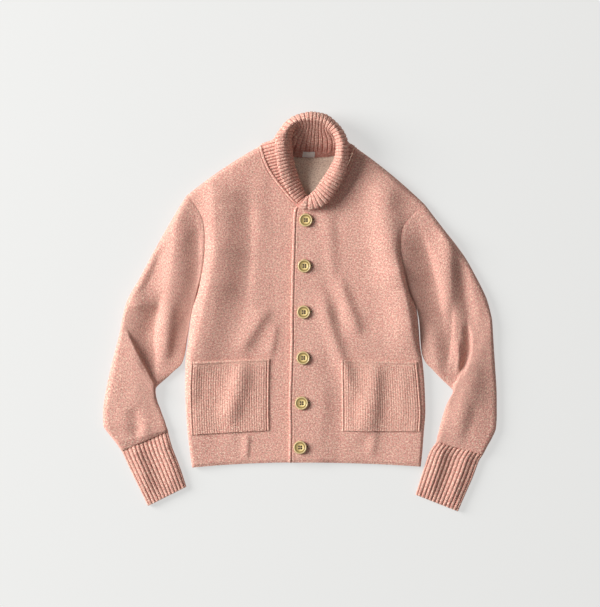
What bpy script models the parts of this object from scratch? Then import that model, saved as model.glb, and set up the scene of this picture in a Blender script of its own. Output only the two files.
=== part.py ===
"""Knit jacket laid flat on its back: a buttoned body, two sleeves with ribbed cuffs, a ribbed
shawl collar, two ribbed patch pockets, six four-hole buttons and a bare neck label.

Tables are in millimetres, +X to the right as seen from above, +Y toward the collar and +Z up.
"""

import bmesh
import bpy
import numpy as np
from mathutils import Matrix, Vector

for old in list(bpy.data.objects):
    bpy.data.objects.remove(old)
JACKET = bpy.data.collections.new("knit_jacket")
CUTTERS = bpy.data.collections.new("cutters")
CUTTERS.hide_render = True
bpy.context.scene.collection.children.link(JACKET)
bpy.context.scene.collection.children.link(CUTTERS)

MM = 0.001

# Cloth
WALL = 3.0  # felted knit of the body and sleeves
RIB_WALL = 2.5  # ribbed knit under its ribs
SEAM = 0.3  # space between pieces sewn edge to edge
REST_EDGE = 8.0  # height of the seams and folds down the sides
LAP = 4.0  # how far the upper front is lifted by the one below it
LAP_END = 31.0  # x of the lower front's hidden edge
LAP_FADE = 50.0  # length over which the upper front settles again
HEM_ROUND = 6.0  # depth of the hem's rounded edge
HEM_DROP = 2.0
SHOULDER_TURN = 12.0  # depth of the turn at the shoulder seam
ARMHOLE_TURN = 11.0  # depth of a sleeve's turn at the armhole
WELT = 6.0  # width of the raised finish on the front edge and neck
WELT_RISE = 1.7

# Ribs
RIB_RISE = 1.3
COLLAR_RIBS = 64
CUFF_RIBS = 26
POCKET_RIBS = 33
POCKET_WALL = 2.4
POCKET_WELT = 4.0  # width of the finish along a pocket's top and sides
POCKET_WELT_RISE = 1.6
POCKET_RIB_RISE = 0.9

# Buttons
BUTTON_HOLE_R = 1.5
BUTTON_HOLE_OFF = 3.1
BUTTON_STEPS = 18
BUTTON_HOLES = 4
BUTTON_HOLE_STEPS = 6
BUTTON_MERGE = 0.00005  # metres
BUTTON_CUT = (-2.0, 8.0)  # heights between which the holes are cut
BUTTON_REACH = 10.0  # how far out the cloth under a button is felt for
BUTTON_CLEAR = 0.25  # space below a button besides the seam's
# Height and radius of a button, from its dished middle over the rim and down to its underside.
BUTTON_PROFILE = (
    (2.6, 6.6), (3.7, 8.0), (3.5, 9.8), (4.5, 11.6), (3.6, 13.0), (1.4, 13.4), (0.0, 12.0)
)

# One row per level of a front, from the hem to the shoulder: the side edge (side seam, then armhole,
# then the shoulder point), how deep its turn is, how far the edge drops, the front edge (then the
# neckline), the bow of the row, and the height near the side, in the middle and at the front edge.
FRONT_COLUMNS = (
    "side_x", "side_y", "turn", "drop", "front_x", "front_y", "bow", "z_side", "z_mid", "z_front"
)
WEARER_RIGHT_FRONT = (
    (-216.0, -312.0, 7, 1.00, 29, -302, 3.5, 13, 10, 10),
    (-220.4, -280.0, 7, 1.00, 29, -270, 2.0, 14, 10, 10),
    (-224.4, -247.0, 7, 1.00, 29, -234, 1.0, 14, 10, 10),
    (-228.0, -200.0, 8, 1.00, 29, -188, 0.0, 14, 10, 10),
    (-229.8, -150.0, 9, 1.00, 30, -140, 0.0, 14, 11, 10),
    (-229.0, -102.0, 11, 1.00, 30, -91, 0.0, 14, 12, 10),
    (-224.8, -66.0, 12, 1.00, 30, -55, 0.0, 14, 13, 10),
    (-220.8, -30.0, 12, 1.00, 31, -15, 0.0, 14, 13, 10),
    (-216.0, 5.0, 12, 1.00, 31, 25, 0.0, 14, 13, 10),
    (-205.0, 40.0, 12, 1.00, 31, 65, 0.0, 14, 13, 10),
    (-195.0, 85.0, 12, 1.00, 31, 110, 0.0, 14, 13, 10),
    (-190.5, 130.0, 12, 0.90, 31, 150, 0.0, 14, 13, 10),
    (-190.5, 153.0, 12, 0.70, 31, 174, 0.0, 14, 13, 10),
    (-192.0, 172.0, 12, 0.35, 28, 194, 0.0, 14, 13, 10),
    (-196.0, 188.0, 12, 0.15, -3, 215, 0.0, 15, 13, 10),
    (-203.0, 202.0, 12, 0.15, -33, 248, 1.0, 15, 13, 12),
    (-211.0, 214.0, 12, 0.15, -57, 281, 2.0, 15, 14, 15),
    (-219.0, 223.5, 12, 0.15, -71, 311, 3.5, 15, 15, 18),
    (-227.0, 232.0, 12, 0.15, -77, 333, 5.0, 15, 16, 19),
)
WEARER_LEFT_FRONT = (
    (241.8, -310.0, 7, 1.00, -22.5, -302, 2.5, 13, 10, 10),
    (245.0, -280.0, 7, 1.00, -22.0, -270, 1.5, 14, 10, 10),
    (248.0, -240.0, 8, 1.00, -21.5, -239, 0.5, 14, 10, 10),
    (251.0, -200.0, 9, 1.00, -22.5, -192, 0.0, 14, 10, 10),
    (249.5, -150.0, 11, 1.00, -21.0, -143, 0.0, 14, 11, 10),
    (245.5, -102.0, 12, 1.00, -19.6, -94, 0.0, 15, 12, 10),
    (240.0, -66.0, 12, 1.00, -18.6, -55, 0.0, 15, 13, 10),
    (237.6, -30.0, 12, 1.00, -18.4, -15, 0.0, 15, 13, 10),
    (233.6, 5.0, 12, 1.00, -17.6, 25, 0.0, 15, 13, 10),
    (219.8, 38.0, 12, 1.00, -17.0, 65, 0.0, 15, 13, 10),
    (208.0, 85.0, 12, 1.00, -16.0, 106, 0.0, 15, 13, 10),
    (201.0, 126.0, 12, 0.90, -15.0, 141, 0.0, 15, 13, 10),
    (202.0, 148.0, 12, 0.70, -14.0, 168, 0.0, 15, 13, 10),
    (206.5, 168.0, 12, 0.35, -13.0, 192, 0.0, 15, 13, 10),
    (215.0, 182.0, 12, 0.15, -8.0, 209, 0.0, 15, 13, 10),
    (224.0, 192.0, 12, 0.15, 27, 213, 1.0, 15, 13, 11),
    (233.0, 200.0, 12, 0.15, 64, 239, 2.0, 15, 14, 14),
    (242.0, 207.0, 12, 0.15, 94, 288, 3.5, 15, 15, 18),
    (250.0, 214.0, 12, 0.15, 110, 329, 5.0, 15, 16, 19),
)
UNDERARM = 8  # row of the underarm point
SHOULDER = 18  # row of the shoulder seam
NECK_START = 13  # row where the front edge becomes the neckline
POCKET_ROWS = (2, 5)
POCKET_FRONT = (0.655, 0.615)  # how far across a front its pocket ends, wearer's right and left

# Back neckline, from the wearer's right neck point to the left.
BACK_NECK = ((-77, 333), (-52, 320), (-22, 310), (16, 307), (55, 309), (85, 316), (110, 329))

# One row per ring of a sleeve: its outer edge, its inner edge, how much of the armhole's curve is left
# in it, how deep its turns are, and the height near the outer edge, in the middle, near the inner edge.
SLEEVE_COLUMNS = (
    "out_x", "out_y", "in_x", "in_y", "curve", "turn", "z_out", "z_mid", "z_in"
)
WEARER_RIGHT_SLEEVE = (
    (-227, 232, -216, 5, 1.00, 12, 15, 20, 16),
    (-243, 207, -219.6, -13, 0.72, 12, 16, 19, 15),
    (-263, 173, -222.6, -36, 0.46, 13, 17, 18, 13),
    (-284, 136, -226.4, -60, 0.26, 13, 18, 16, 11),
    (-304, 99, -230.2, -84, 0.12, 13, 18, 16, 10),
    (-322, 65, -238, -106, 0.04, 13, 18, 16, 10),
    (-337, 40, -252, -119, 0.00, 12, 18, 14, 10),
    (-348, 17, -267, -133, 0.00, 11, 13, 10, 10),
    (-355, -10, -285, -149, 0.00, 10, 10, 9, 10),
    (-357.5, -23, -288.5, -154, 0.00, 10, 19, 24, 20),
    (-361, -42, -289, -160, 0.00, 11, 20, 24, 20),
    (-369, -74, -288, -169, 0.00, 12, 20, 22, 18),
    (-380, -118, -285, -181, 0.00, 12, 19, 20, 15),
    (-389, -162, -280, -194, 0.00, 12, 18, 18, 13),
    (-394.4, -200, -275, -208, 0.00, 12, 17, 18, 12),
    (-394.0, -226, -270, -221, 0.00, 11, 16, 17, 12),
    (-383, -245, -267, -231, 0.00, 10, 15, 16, 14),
    (-370, -261, -265, -236, 0.00, 9, 15, 16, 15),
    (-357.6, -279, -263.8, -240, 0.00, 6, 12, 12, 12),
)
WEARER_LEFT_SLEEVE = (
    (250, 214, 234, 5, 1.00, 12, 15, 20, 16),
    (269, 189, 237.8, -13, 0.72, 12, 16, 19, 15),
    (290, 162, 239.8, -36, 0.46, 13, 17, 18, 13),
    (312, 134, 241.2, -60, 0.26, 13, 18, 16, 11),
    (332, 106, 243.6, -82, 0.12, 13, 18, 14, 10),
    (350, 74, 251, -101, 0.04, 13, 18, 14, 10),
    (364, 47, 266, -117, 0.00, 12, 18, 14, 10),
    (375, 22, 281, -133, 0.00, 11, 18, 14, 10),
    (382, -4, 302, -153, 0.00, 10, 18, 14, 9),
    (384.5, -16, 306, -158, 0.00, 10, 18, 18, 19),
    (386, -36, 305, -164, 0.00, 11, 17, 20, 20),
    (388, -70, 300, -173, 0.00, 12, 15, 20, 19),
    (391, -115, 293, -187, 0.00, 12, 14, 19, 18),
    (393.8, -165, 287, -205, 0.00, 12, 13, 18, 17),
    (394.0, -205, 281, -226, 0.00, 12, 13, 17, 16),
    (392.5, -232, 277.5, -240, 0.00, 11, 13, 16, 15),
    (385, -252, 275, -250, 0.00, 10, 13, 16, 15),
    (375, -270, 274, -256, 0.00, 9, 14, 16, 15),
    (366.6, -286.6, 273, -261, 0.00, 6, 12, 12, 12),
)

# One row per ring of a cuff: its outer edge, its inner edge and its height.
CUFF_COLUMNS = ("out_x", "out_y", "in_x", "in_y", "rise")
WEARER_RIGHT_CUFF = (
    (-357.4, -279.6, -263.6, -240.6, 11.6),
    (-349, -298, -255, -272, 11.6),
    (-335, -328, -241, -308, 11.4),
    (-305, -389, -227, -350, 11.4),
)
WEARER_LEFT_CUFF = (
    (366.5, -287.2, 272.6, -261.6, 11.6),
    (359, -300, 261, -277, 11.6),
    (346, -334, 248, -312, 11.4),
    (317, -400, 231, -366, 11.4),
)

# One row per fold: start, bend and end of its line, its half widths left and right of the way it runs,
# and its height, minus where it sinks.
BODY_FOLDS = (
    (-172, 292, -163, 180, -168, 62, 38, 24, 10.5),
    (-168, 118, -186, 30, -214, -104, 38, 20, 9.5),
    (-58, 14, -92, -30, -130, -98, 13, 18, 5.0),
    (-114, -90, -121, -160, -154, -236, 15, 18, 6.0),
    (168, 292, 170, 190, 184, 84, 26, 42, 13.0),
    (180, 136, 196, 60, 228, -56, 18, 44, 13.0),
    (76, 78, 92, 14, 126, -56, 10, 18, 4.0),
    (52, 40, 64, -40, 116, -168, 12, 16, 4.5),
    (152, -90, 147, -170, 151, -246, 15, 20, 5.0),
)
SLEEVE_FOLDS = (
    (-234, 244, -252, 112, -262, -10, 36, 18, 11.5),
    (-262, 40, -264, -40, -273, -116, 17, 17, 7.0),
    (-350, 8, -314, 20, -276, 2, 22, 9, 5.5),
    (-344, -14, -318, -34, -298, -92, 15, 16, -3.0),
    (-334, -186, -326, -222, -322, -262, 12, 16, -4.5),
    (290, 206, 303, 110, 296, -26, 16, 26, 9.0),
    (243, 140, 256, 40, 262, -80, 24, 20, -2.0),
    (314, 126, 330, 50, 348, -72, 13, 12, -4.5),
    (344, -70, 333, -160, 308, -270, 30, 20, 7.0),
)

# One row per section of the collar, from the wearer's right tip round the neck to the left tip: its
# place along the neck seam, the bulge and height of its stand, the inner and outer edge of its roll,
# the heights of the inner edge, the top and the free edge.
COLLAR_COLUMNS = (
    "seam", "bulge", "z_stand", "in_x", "in_y", "out_x", "out_y", "z_in", "z_top", "z_edge"
)
COLLAR_ROWS = (
    (0.062, 0, 7.6, 16.5, 228.5, 2, 213, 9.6, 14.5, 12),
    (0.090, 0, 7.8, 11, 236, -8, 221, 11, 17, 14),
    (0.125, 0, 8.5, 4, 251, -20, 235, 13, 21, 16.5),
    (0.165, 0, 11, -3, 268, -32, 254, 17, 27, 20),
    (0.205, 0, 15, -8.5, 286, -40, 274, 22, 34, 26),
    (0.245, 0, 20, -13, 306, -45, 298, 28, 42, 32),
    (0.285, 0, 25, -16, 328, -49, 323, 35, 50, 38),
    (0.322, 3, 26, -16.5, 346, -49, 346, 40, 56, 41),
    (0.350, 10, 25, -14, 358, -42, 361, 42, 58, 34),
    (0.385, 9, 23, -7, 367, -27, 380, 43.5, 58.5, 18),
    (0.430, 2, 20, 5, 370.5, -5, 393, 44, 58, 5),
    (0.490, 0, 19, 22, 371, 22, 398.5, 44, 57.5, 4),
    (0.545, 2, 20, 42, 369.5, 47, 395, 44, 58, 5),
    (0.595, 8, 23, 57, 363, 70, 380, 43.5, 58.5, 18),
    (0.640, 9, 26, 67.5, 350, 87, 359, 42, 58, 32),
    (0.685, 3, 27, 72, 332, 95.5, 336, 40, 56, 37),
    (0.735, 0, 26, 69.5, 310, 96, 308, 37, 52, 33),
    (0.785, 0, 25, 62, 293, 93, 285, 34, 48, 29),
    (0.835, 0, 24, 52, 276, 84, 262, 32, 44, 26),
    (0.880, 0, 23, 41, 259, 71, 240, 30, 40, 23),
    (0.920, 0, 22, 31, 245, 57, 220, 28, 36, 20.5),
    (0.955, 0, 20.5, 23, 236.5, 36, 206.5, 26, 33, 19),
    (0.985, 0, 19.5, 17, 231, 15, 203.5, 24, 30, 18),
    (1.000, 0, 19, 12, 230, -5, 207.5, 23, 29, 17.5),
)
LABEL_X = (5.0, 29.0)
LABEL_DEPTH = 11.6
LABEL_THICK = 0.9
LABEL_START = 1.5  # from the neck seam to the label's lower edge
LABEL_LIFT = 1.4  # from the collar's face between its ribs to the label's underside

# Buttons, from the top: centre.
BUTTONS = ((11.8, 182.8), (8.8, 91.0), (7.4, -1.2), (6.4, -93.0), (3.4, -183.4), (0.4, -272.0))


def column(rows, columns, name):
    return np.array([row[columns.index(name)] for row in rows], float)


def ease(values, at):
    """Values between a table's rows, smooth and never past them."""
    y = np.asarray(values, float)
    rise = np.diff(y)
    slope = np.zeros_like(y)
    same = rise[:-1] * rise[1:] > 0
    total = np.where(same, rise[:-1] + rise[1:], 1.0)
    slope[1:-1] = np.where(same, 2 * rise[:-1] * rise[1:] / total, 0.0)
    slope[0], slope[-1] = rise[0], rise[-1]
    at = np.asarray(at, float)
    i = np.clip(np.floor(at).astype(int), 0, len(y) - 2)
    f = at - i
    return (
        y[i] * (1 + 2 * f) * (1 - f) ** 2
        + slope[i] * f * (1 - f) ** 2
        + y[i + 1] * f**2 * (3 - 2 * f)
        - slope[i + 1] * f**2 * (1 - f)
    )


def reader(rows, columns, at):
    """Looks up a table's named columns at places between its rows."""
    return lambda name: ease(column(rows, columns, name), at)


def step(x):
    x = np.clip(x, 0, 1)
    return x * x * (3 - 2 * x)


def unit(v):
    return v / np.maximum(np.linalg.norm(v, axis=-1, keepdims=True), 1e-9)


def folds(x, y, rows):
    """Height that a table of folds adds at each place."""
    total = np.zeros(np.shape(x))
    for x0, y0, x1, y1, x2, y2, left, right, rise in rows:
        s = np.linspace(0, 1, 13)
        path_x = (1 - s) ** 2 * x0 + 2 * s * (1 - s) * x1 + s * s * x2
        path_y = (1 - s) ** 2 * y0 + 2 * s * (1 - s) * y1 + s * s * y2
        best = np.full(np.shape(x), 1e9)
        along = np.zeros(np.shape(x))
        side = np.ones(np.shape(x))
        for k in range(12):
            dx, dy = path_x[k + 1] - path_x[k], path_y[k + 1] - path_y[k]
            f = np.clip(((x - path_x[k]) * dx + (y - path_y[k]) * dy) / (dx * dx + dy * dy), 0, 1)
            gap = np.hypot(x - path_x[k] - f * dx, y - path_y[k] - f * dy)
            near = gap < best
            turn = dx * (y - path_y[k]) - dy * (x - path_x[k])
            best = np.where(near, gap, best)
            along = np.where(near, (k + f) / 12, along)
            side = np.where(near, np.sign(turn), side)
        width = np.where(side > 0, left, right)
        total += rise * np.exp(-((best / width) ** 2)) * step(along / 0.3) * step((1 - along) / 0.3)
    return total


def settle(height, rest, edges):
    """Height of cloth that turns down at its edges, and how far its face has turned outward."""
    keep = np.ones(np.shape(height))
    out = np.zeros(np.shape(height) + (3,))
    for distance, turn, drop, outward in edges:
        near = np.clip(1 - distance / turn, 0, 1)
        keep = keep * (1 - drop * (1 - np.sqrt(1 - near**2)))
        out[..., :2] += (drop * near)[..., None] * outward
    return rest + (height - rest) * keep, out


def facing(flat, out):
    """Unit normals of a face, turned outward by out."""
    lean = np.sqrt(np.clip(1 - np.sum(out**2, axis=-1, keepdims=True), 0, 1))
    return unit(lean * flat + out)


def slope_normal(place, level, across, top_level):
    """Upward normals of a sheet given as place(level, across)."""
    lo, hi = np.clip(level - 0.03, 0, top_level), np.clip(level + 0.03, 0, top_level)
    a, b = np.clip(across - 0.006, 0, 1), np.clip(across + 0.006, 0, 1)
    n = np.cross(place(level, b) - place(level, a), place(hi, across) - place(lo, across))
    return unit(n * np.sign(n[..., 2:]))


def front_plan(rows, level, across):
    """Plan of a front: across 0 is the side edge and 1 the front edge."""
    get = reader(rows, FRONT_COLUMNS, level)
    x = get("side_x") + across * (get("front_x") - get("side_x"))
    y = get("side_y") + across * (get("front_y") - get("side_y"))
    return np.stack([x, y + get("bow") * 4 * across * (1 - across)], axis=-1)


def front_sheet(rows, level, across):
    """A front before its edges turn down."""
    get = reader(rows, FRONT_COLUMNS, level)
    plan = front_plan(rows, level, across)
    z = get("z_mid") + (get("z_side") - get("z_mid")) * (1 - step(across / 0.3))
    z = z + (get("z_front") - get("z_mid")) * step((across - 0.42) / 0.33)
    z = z + folds(plan[..., 0], plan[..., 1], BODY_FOLDS)
    if rows is WEARER_LEFT_FRONT:
        z = z + LAP * (1 - step((plan[..., 0] - LAP_END) / LAP_FADE))
    below = np.linalg.norm(plan - front_plan(rows, 0 * level, across), axis=-1)
    z = z - HEM_DROP * (1 - step(below / HEM_ROUND))
    return np.concatenate([plan, z[..., None]], axis=-1)


def front_skin(rows, level, across, welt=0.0):
    """Points and normals on a front's outer face."""
    level, across = np.broadcast_arrays(np.asarray(level, float), np.asarray(across, float))
    get = reader(rows, FRONT_COLUMNS, level)
    sheet = front_sheet(rows, level, across)
    flat = slope_normal(lambda a, b: front_sheet(rows, a, b), level, across, SHOULDER)
    plan = sheet[..., :2]
    side, edge = front_plan(rows, level, 0 * across), front_plan(rows, level, 0 * across + 1)
    width = np.linalg.norm(edge - side, axis=-1)
    top = front_plan(rows, 0 * level + SHOULDER, across)
    above = np.linalg.norm(top - plan, axis=-1)
    up = unit(top - front_plan(rows, 0 * level + SHOULDER - 1, across))
    edges = (
        (across * width, get("turn"), get("drop"), unit(side - edge)),
        (above, SHOULDER_TURN, 1.0 + 0 * above, up),
    )
    z, out = settle(sheet[..., 2], REST_EDGE, edges)
    normal = facing(flat, out)
    inward = (1 - across) * width
    rise = welt * WELT_RISE * np.clip(np.sin(np.pi * np.clip(inward / WELT, 0, 1)), 0, 1)
    return np.concatenate([plan, (z + rise)[..., None]], axis=-1), normal


def front_across(rows, level, turned, middle, welted):
    """Places across a front: through its turned edge, over the middle, then across the welt."""
    side, edge = front_plan(rows, level, 0.0), front_plan(rows, level, 1.0)
    width = np.linalg.norm(edge - side)
    turn = ease(column(rows, FRONT_COLUMNS, "turn"), level)
    first = turn * (1 - np.cos(np.radians(turned))) / width
    last = 1 - np.array(welted) * WELT / width
    start, end = first[-1], last[0]
    return np.concatenate([first[:-1], start + (end - start) * np.array(middle), last[1:]])


def strip(a, a_at, b, b_at):
    """Triangles between two chains of points that run side by side."""
    i = j = 0
    found = []
    while i < len(a) - 1 or j < len(b) - 1:
        if j == len(b) - 1 or (i < len(a) - 1 and a_at[i + 1] <= b_at[j + 1] + 1e-9):
            found.append((a[i], a[i + 1], b[j]))
            i += 1
        else:
            found.append((a[i], b[j + 1], b[j]))
            j += 1
    return found


def grid_faces(ids, ring):
    found = []
    for r in range(ids.shape[0] - 1):
        for c in range(ids.shape[1] if ring else ids.shape[1] - 1):
            d = (c + 1) % ids.shape[1]
            found.append((ids[r, c], ids[r, d], ids[r + 1, d]))
            found.append((ids[r, c], ids[r + 1, d], ids[r + 1, c]))
    return found


def wall(outer, inner, outer_at, inner_at, ring=False):
    """A closed wall between two grids: rows by columns, with the place of each row and column."""
    count = outer.shape[0] * outer.shape[1]
    a = np.arange(count).reshape(outer.shape[:2])
    b = count + np.arange(inner.shape[0] * inner.shape[1]).reshape(inner.shape[:2])
    faces = grid_faces(a, ring) + [f[::-1] for f in grid_faces(b, ring)]
    (ra, ca), (rb, cb) = outer_at, inner_at
    for k in (0, -1):
        top, low = list(a[k]), list(b[k])
        at_top, at_low = list(ca), list(cb)
        if ring:
            top, low = top + top[:1], low + low[:1]
            at_top, at_low = at_top + [1.0], at_low + [1.0]
        rim = strip(top, at_top, low, at_low)
        faces += [f[::-1] for f in rim] if k == 0 else rim
    if not ring:
        for k in (0, -1):
            rim = strip(list(a[:, k]), list(ra), list(b[:, k]), list(rb))
            faces += rim if k == 0 else [f[::-1] for f in rim]
    return np.concatenate([outer.reshape(-1, 3), inner.reshape(-1, 3)]), faces


def places(count):
    return list(np.linspace(0, 1, count))


# One material per cloth or part, named for what it is.
COLOURS = {
    "felted_knit": ((0.66, 0.36, 0.28, 1), 0.95),
    "rib_knit": ((0.63, 0.33, 0.26, 1), 0.95),
    "horn_button": ((0.42, 0.35, 0.12, 1), 0.4),
    "label_cloth": ((0.86, 0.84, 0.8, 1), 0.9),
}


def material(name):
    found = bpy.data.materials.get(name)
    if found is None:
        found = bpy.data.materials.new(name)
        found.use_nodes = True
        shader = found.node_tree.nodes["Principled BSDF"]
        colour, roughness = COLOURS[name]
        shader.inputs["Base Color"].default_value = colour
        shader.inputs["Roughness"].default_value = roughness
    return found


def add_part(name, points, faces, material_name):
    """Adds one closed solid to the jacket."""
    points = np.asarray(points, float) * MM
    mesh = bpy.data.meshes.new(name)
    mesh.from_pydata(points.tolist(), [], [tuple(int(i) for i in f) for f in faces])
    mesh.materials.append(material(material_name))
    mesh.validate()
    obj = bpy.data.objects.new(name, mesh)
    JACKET.objects.link(obj)
    if signed_volume(points, faces) < 0:
        mesh.flip_normals()
    return obj


def signed_volume(points, faces):
    f = np.array(faces)
    a, b, c = points[f[:, 0]], points[f[:, 1]], points[f[:, 2]]
    return float(np.sum(np.cross(a, b) * c) / 6)


# Body

FRONT_LEVELS = (
    0, 0.2, 1, 2, 3, 4, 5, 6, 7, 8, 8.35, 9, 10, 11, 12, 13, 14, 15, 16, 17, 17.45, 17.8, 18
)
TURNED = (0, 30, 60, 90)
MIDDLES = {
    True: (0, 0.13, 0.26, 0.39, 0.52, None, 0.8, 0.9, 1),
    False: (0, 0.12, 0.24, 0.36, 0.48, None, 0.75, 0.87, 1),
}
WELTED = (1.35, 1.0, 0.5, 0)
WELT_START = NECK_START + 0.9  # the lower front has its finish only along the neck


def front_grid(rows):
    """Outer points, normals and plain points of a front, with its pocket's last column."""
    right = rows is WEARER_RIGHT_FRONT
    middle = [POCKET_FRONT[0 if right else 1] if m is None else m for m in MIDDLES[right]]
    outer, plain, normals = [], [], []
    for level in FRONT_LEVELS:
        across = front_across(rows, level, TURNED, middle, WELTED)
        welt = step((level - WELT_START) / 0.4) if right else 1.0
        points, normal = front_skin(rows, level, across, welt)
        base, _ = front_skin(rows, level, across, 0.0)
        edge = unit(front_plan(rows, level, 1.0) - front_plan(rows, level, 0.0))
        lean = normal[-1, :2] @ edge
        normal[-1, :2] -= lean * edge
        normal[-1] = unit(normal[-1])
        outer.append(points)
        plain.append(base)
        normals.append(normal)
    return np.array(outer), np.array(plain), np.array(normals)


def make_front(name, rows):
    outer, plain, normals = front_grid(rows)
    inner = plain - WALL * normals
    at = (places(len(outer)), places(outer.shape[1]))
    points, faces = wall(outer, inner, at, at)
    return add_part(name, points, faces, "felted_knit")


def make_pocket(name, rows):
    """A ribbed patch on a front, whose underside follows the front's own points."""
    _, plain, normals = front_grid(rows)
    first = FRONT_LEVELS.index(POCKET_ROWS[0])
    last = FRONT_LEVELS.index(POCKET_ROWS[1])
    start = len(TURNED) - 1
    end = start + MIDDLES[True].index(None)
    base = plain[first : last + 1, start : end + 1]
    lift = normals[first : last + 1, start : end + 1]
    inner = base + SEAM * lift
    steps = 2 * POCKET_RIBS + 1
    across = np.linspace(0, 1, steps)
    width = np.linalg.norm(base[-1, -1] - base[-1, 0])
    tall = np.linalg.norm(base[-1, 0] - base[0, 0])
    up = np.array([0, 1 / 3, 2 / 3, 1 - POCKET_WELT / tall, 1 - POCKET_WELT / tall / 2, 1])
    col_at = np.linspace(0, 1, base.shape[1])
    row_at = np.linspace(0, 1, base.shape[0])
    columns_at = np.cumsum(np.r_[0, np.linalg.norm(np.diff(base[-1], axis=0), axis=-1)])
    columns_at = columns_at / columns_at[-1]
    rows_at = np.cumsum(np.r_[0, np.linalg.norm(np.diff(base[:, 2], axis=0), axis=-1)])
    rows_at = rows_at / rows_at[-1]
    outer = np.zeros((len(up), steps, 3))
    for r, v in enumerate(up):
        row = np.stack(
            [[np.interp(v, rows_at, base[:, c, k]) for k in range(3)] for c in range(len(col_at))]
        )
        turn = np.stack(
            [[np.interp(v, rows_at, lift[:, c, k]) for k in range(3)] for c in range(len(col_at))]
        )
        point = np.stack([np.interp(across, columns_at, row[:, k]) for k in range(3)], axis=-1)
        normal = unit(
            np.stack([np.interp(across, columns_at, turn[:, k]) for k in range(3)], axis=-1)
        )
        rib = POCKET_RIB_RISE * (np.arange(steps) % 2)
        side = np.minimum(across, 1 - across) * width
        rise = np.where(side < POCKET_WELT, POCKET_WELT_RISE * np.sin(np.pi * side / POCKET_WELT), rib)
        if v > 1 - POCKET_WELT / tall - 1e-6:
            below = (1 - v) * tall / POCKET_WELT
            rise = np.full(steps, POCKET_WELT_RISE * np.sin(np.pi * np.clip(below, 0, 1)))
        outer[r] = point + (SEAM + POCKET_WALL + rise)[:, None] * normal
    points, faces = wall(
        outer, inner, (list(up), list(across)), (list(rows_at), list(columns_at))
    )
    return add_part(name, points, faces, "rib_knit")


# Outline of the back, from the hem up each side and over the shoulder to the neck.

BACK_LEVELS = (0, 1, 2, 3.5, 5, 6.5, 7.7, 8, 8.35, 9, 10, 11.5, 13, 14.5, 16, 17.4, 18)
BACK_SHOULDER = (0.25, 0.55, 0.85, 1.0)  # how far up the shoulder the rows above the armhole start
BACK_ACROSS = (0.17, 0.33, 0.5, 0.67, 0.83)
BACK_BOW = 10.0  # rise of the hem's middle over its corners
BACK_TURN = 10.0  # depth of the back's turned edges


def back_edges():
    """Left and right edge points of the back's rows, and how far each is turned up."""
    left, right, turned = [], [], []
    for level in BACK_LEVELS:
        left.append(front_plan(WEARER_RIGHT_FRONT, level, 0.0))
        right.append(front_plan(WEARER_LEFT_FRONT, level, 0.0))
        turned.append(1.0 if level <= UNDERARM or level > 17.7 else 0.0)
    for across in BACK_SHOULDER:
        left.append(front_plan(WEARER_RIGHT_FRONT, SHOULDER, across))
        right.append(front_plan(WEARER_LEFT_FRONT, SHOULDER, across))
        turned.append(1.0)
    return np.array(left), np.array(right), np.array(turned)


def back_row(k):
    """Plan, lift and outward turn of one row of the back, from left to right."""
    left, right, turned = back_edges()
    neck_x, neck_y = np.array(BACK_NECK, float).T
    width = np.linalg.norm(right[k] - left[k])
    near = BACK_TURN * (1 - np.cos(np.radians(np.array(TURNED)))) / width
    middle = near[-1] + (1 - 2 * near[-1]) * np.array(BACK_ACROSS)
    f = np.concatenate([near, middle, 1 - near[::-1]])
    plan = left[k] + f[:, None] * (right[k] - left[k])
    above = max(0, k - len(BACK_LEVELS) + 1) / len(BACK_SHOULDER)
    line = np.interp(f, (0, 1), (neck_x[0], neck_x[-1]))
    dip = np.interp(line, neck_x, neck_y) - np.interp(f, (0, 1), (neck_y[0], neck_y[-1]))
    plan[:, 1] += above**1.5 * dip
    plan[:, 1] += BACK_BOW * (4 * f * (1 - f)) ** 0.8 * max(0.0, 1 - k / 3)
    edge = np.cos(np.radians(np.array(TURNED)))
    turn = np.concatenate([edge, np.zeros(len(BACK_ACROSS)), edge[::-1]]) * turned[k]
    lift = (REST_EDGE - SEAM) * (1 - np.sqrt(1 - turn**2))
    side = np.where(np.arange(len(f)) < len(f) / 2, -1.0, 1.0)
    out = side[:, None] * unit(right[k] - left[k]) * turn[:, None]
    return plan, lift, np.concatenate([out, -np.sqrt(1 - turn**2)[:, None]], axis=-1)


def make_back():
    outer, inner = [], []
    for k in range(len(BACK_LEVELS) + len(BACK_SHOULDER)):
        plan, lift, normal = back_row(k)
        outer.append(np.concatenate([plan, lift[:, None]], axis=-1))
        inner.append(outer[-1] - WALL * normal)
    outer, inner = np.array(outer), np.array(inner)
    at = (places(outer.shape[0]), places(outer.shape[1]))
    points, faces = wall(outer, inner, at, at)
    return add_part("back", points, faces, "felted_knit")


# Sleeves

SLEEVE_TURNED = (0, 35, 65, 90)
SLEEVE_TOP = (0.14, 0.28, 0.43, 0.57, 0.72, 0.86)
SLEEVE_LOW = (0.33, 0.67)
ARMHOLE_REACH = 1.5  # rings over which a sleeve's points leave the armhole's
UNDERARM_GAP = 2.0  # how much wider the seam's space is at the underarm
UNDERARM_FADE = 16.0
UNDERARM_PUSH = 1.8  # how far the ring after the seam stands clear under the arm
UNDERARM_PUSH_FADE = 30.0
SLEEVE_RINGS = (0, 0.45, 1, 2, 3, 4, 5, 6, 7, 8, 9, 10, 11, 12, 13, 14, 15, 16, 17, 18)
ARMHOLE_OVER = FRONT_LEVELS[: FRONT_LEVELS.index(UNDERARM) - 1 : -1]
ARMHOLE_UNDER = BACK_LEVELS[BACK_LEVELS.index(UNDERARM) + 1 : -1]


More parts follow.
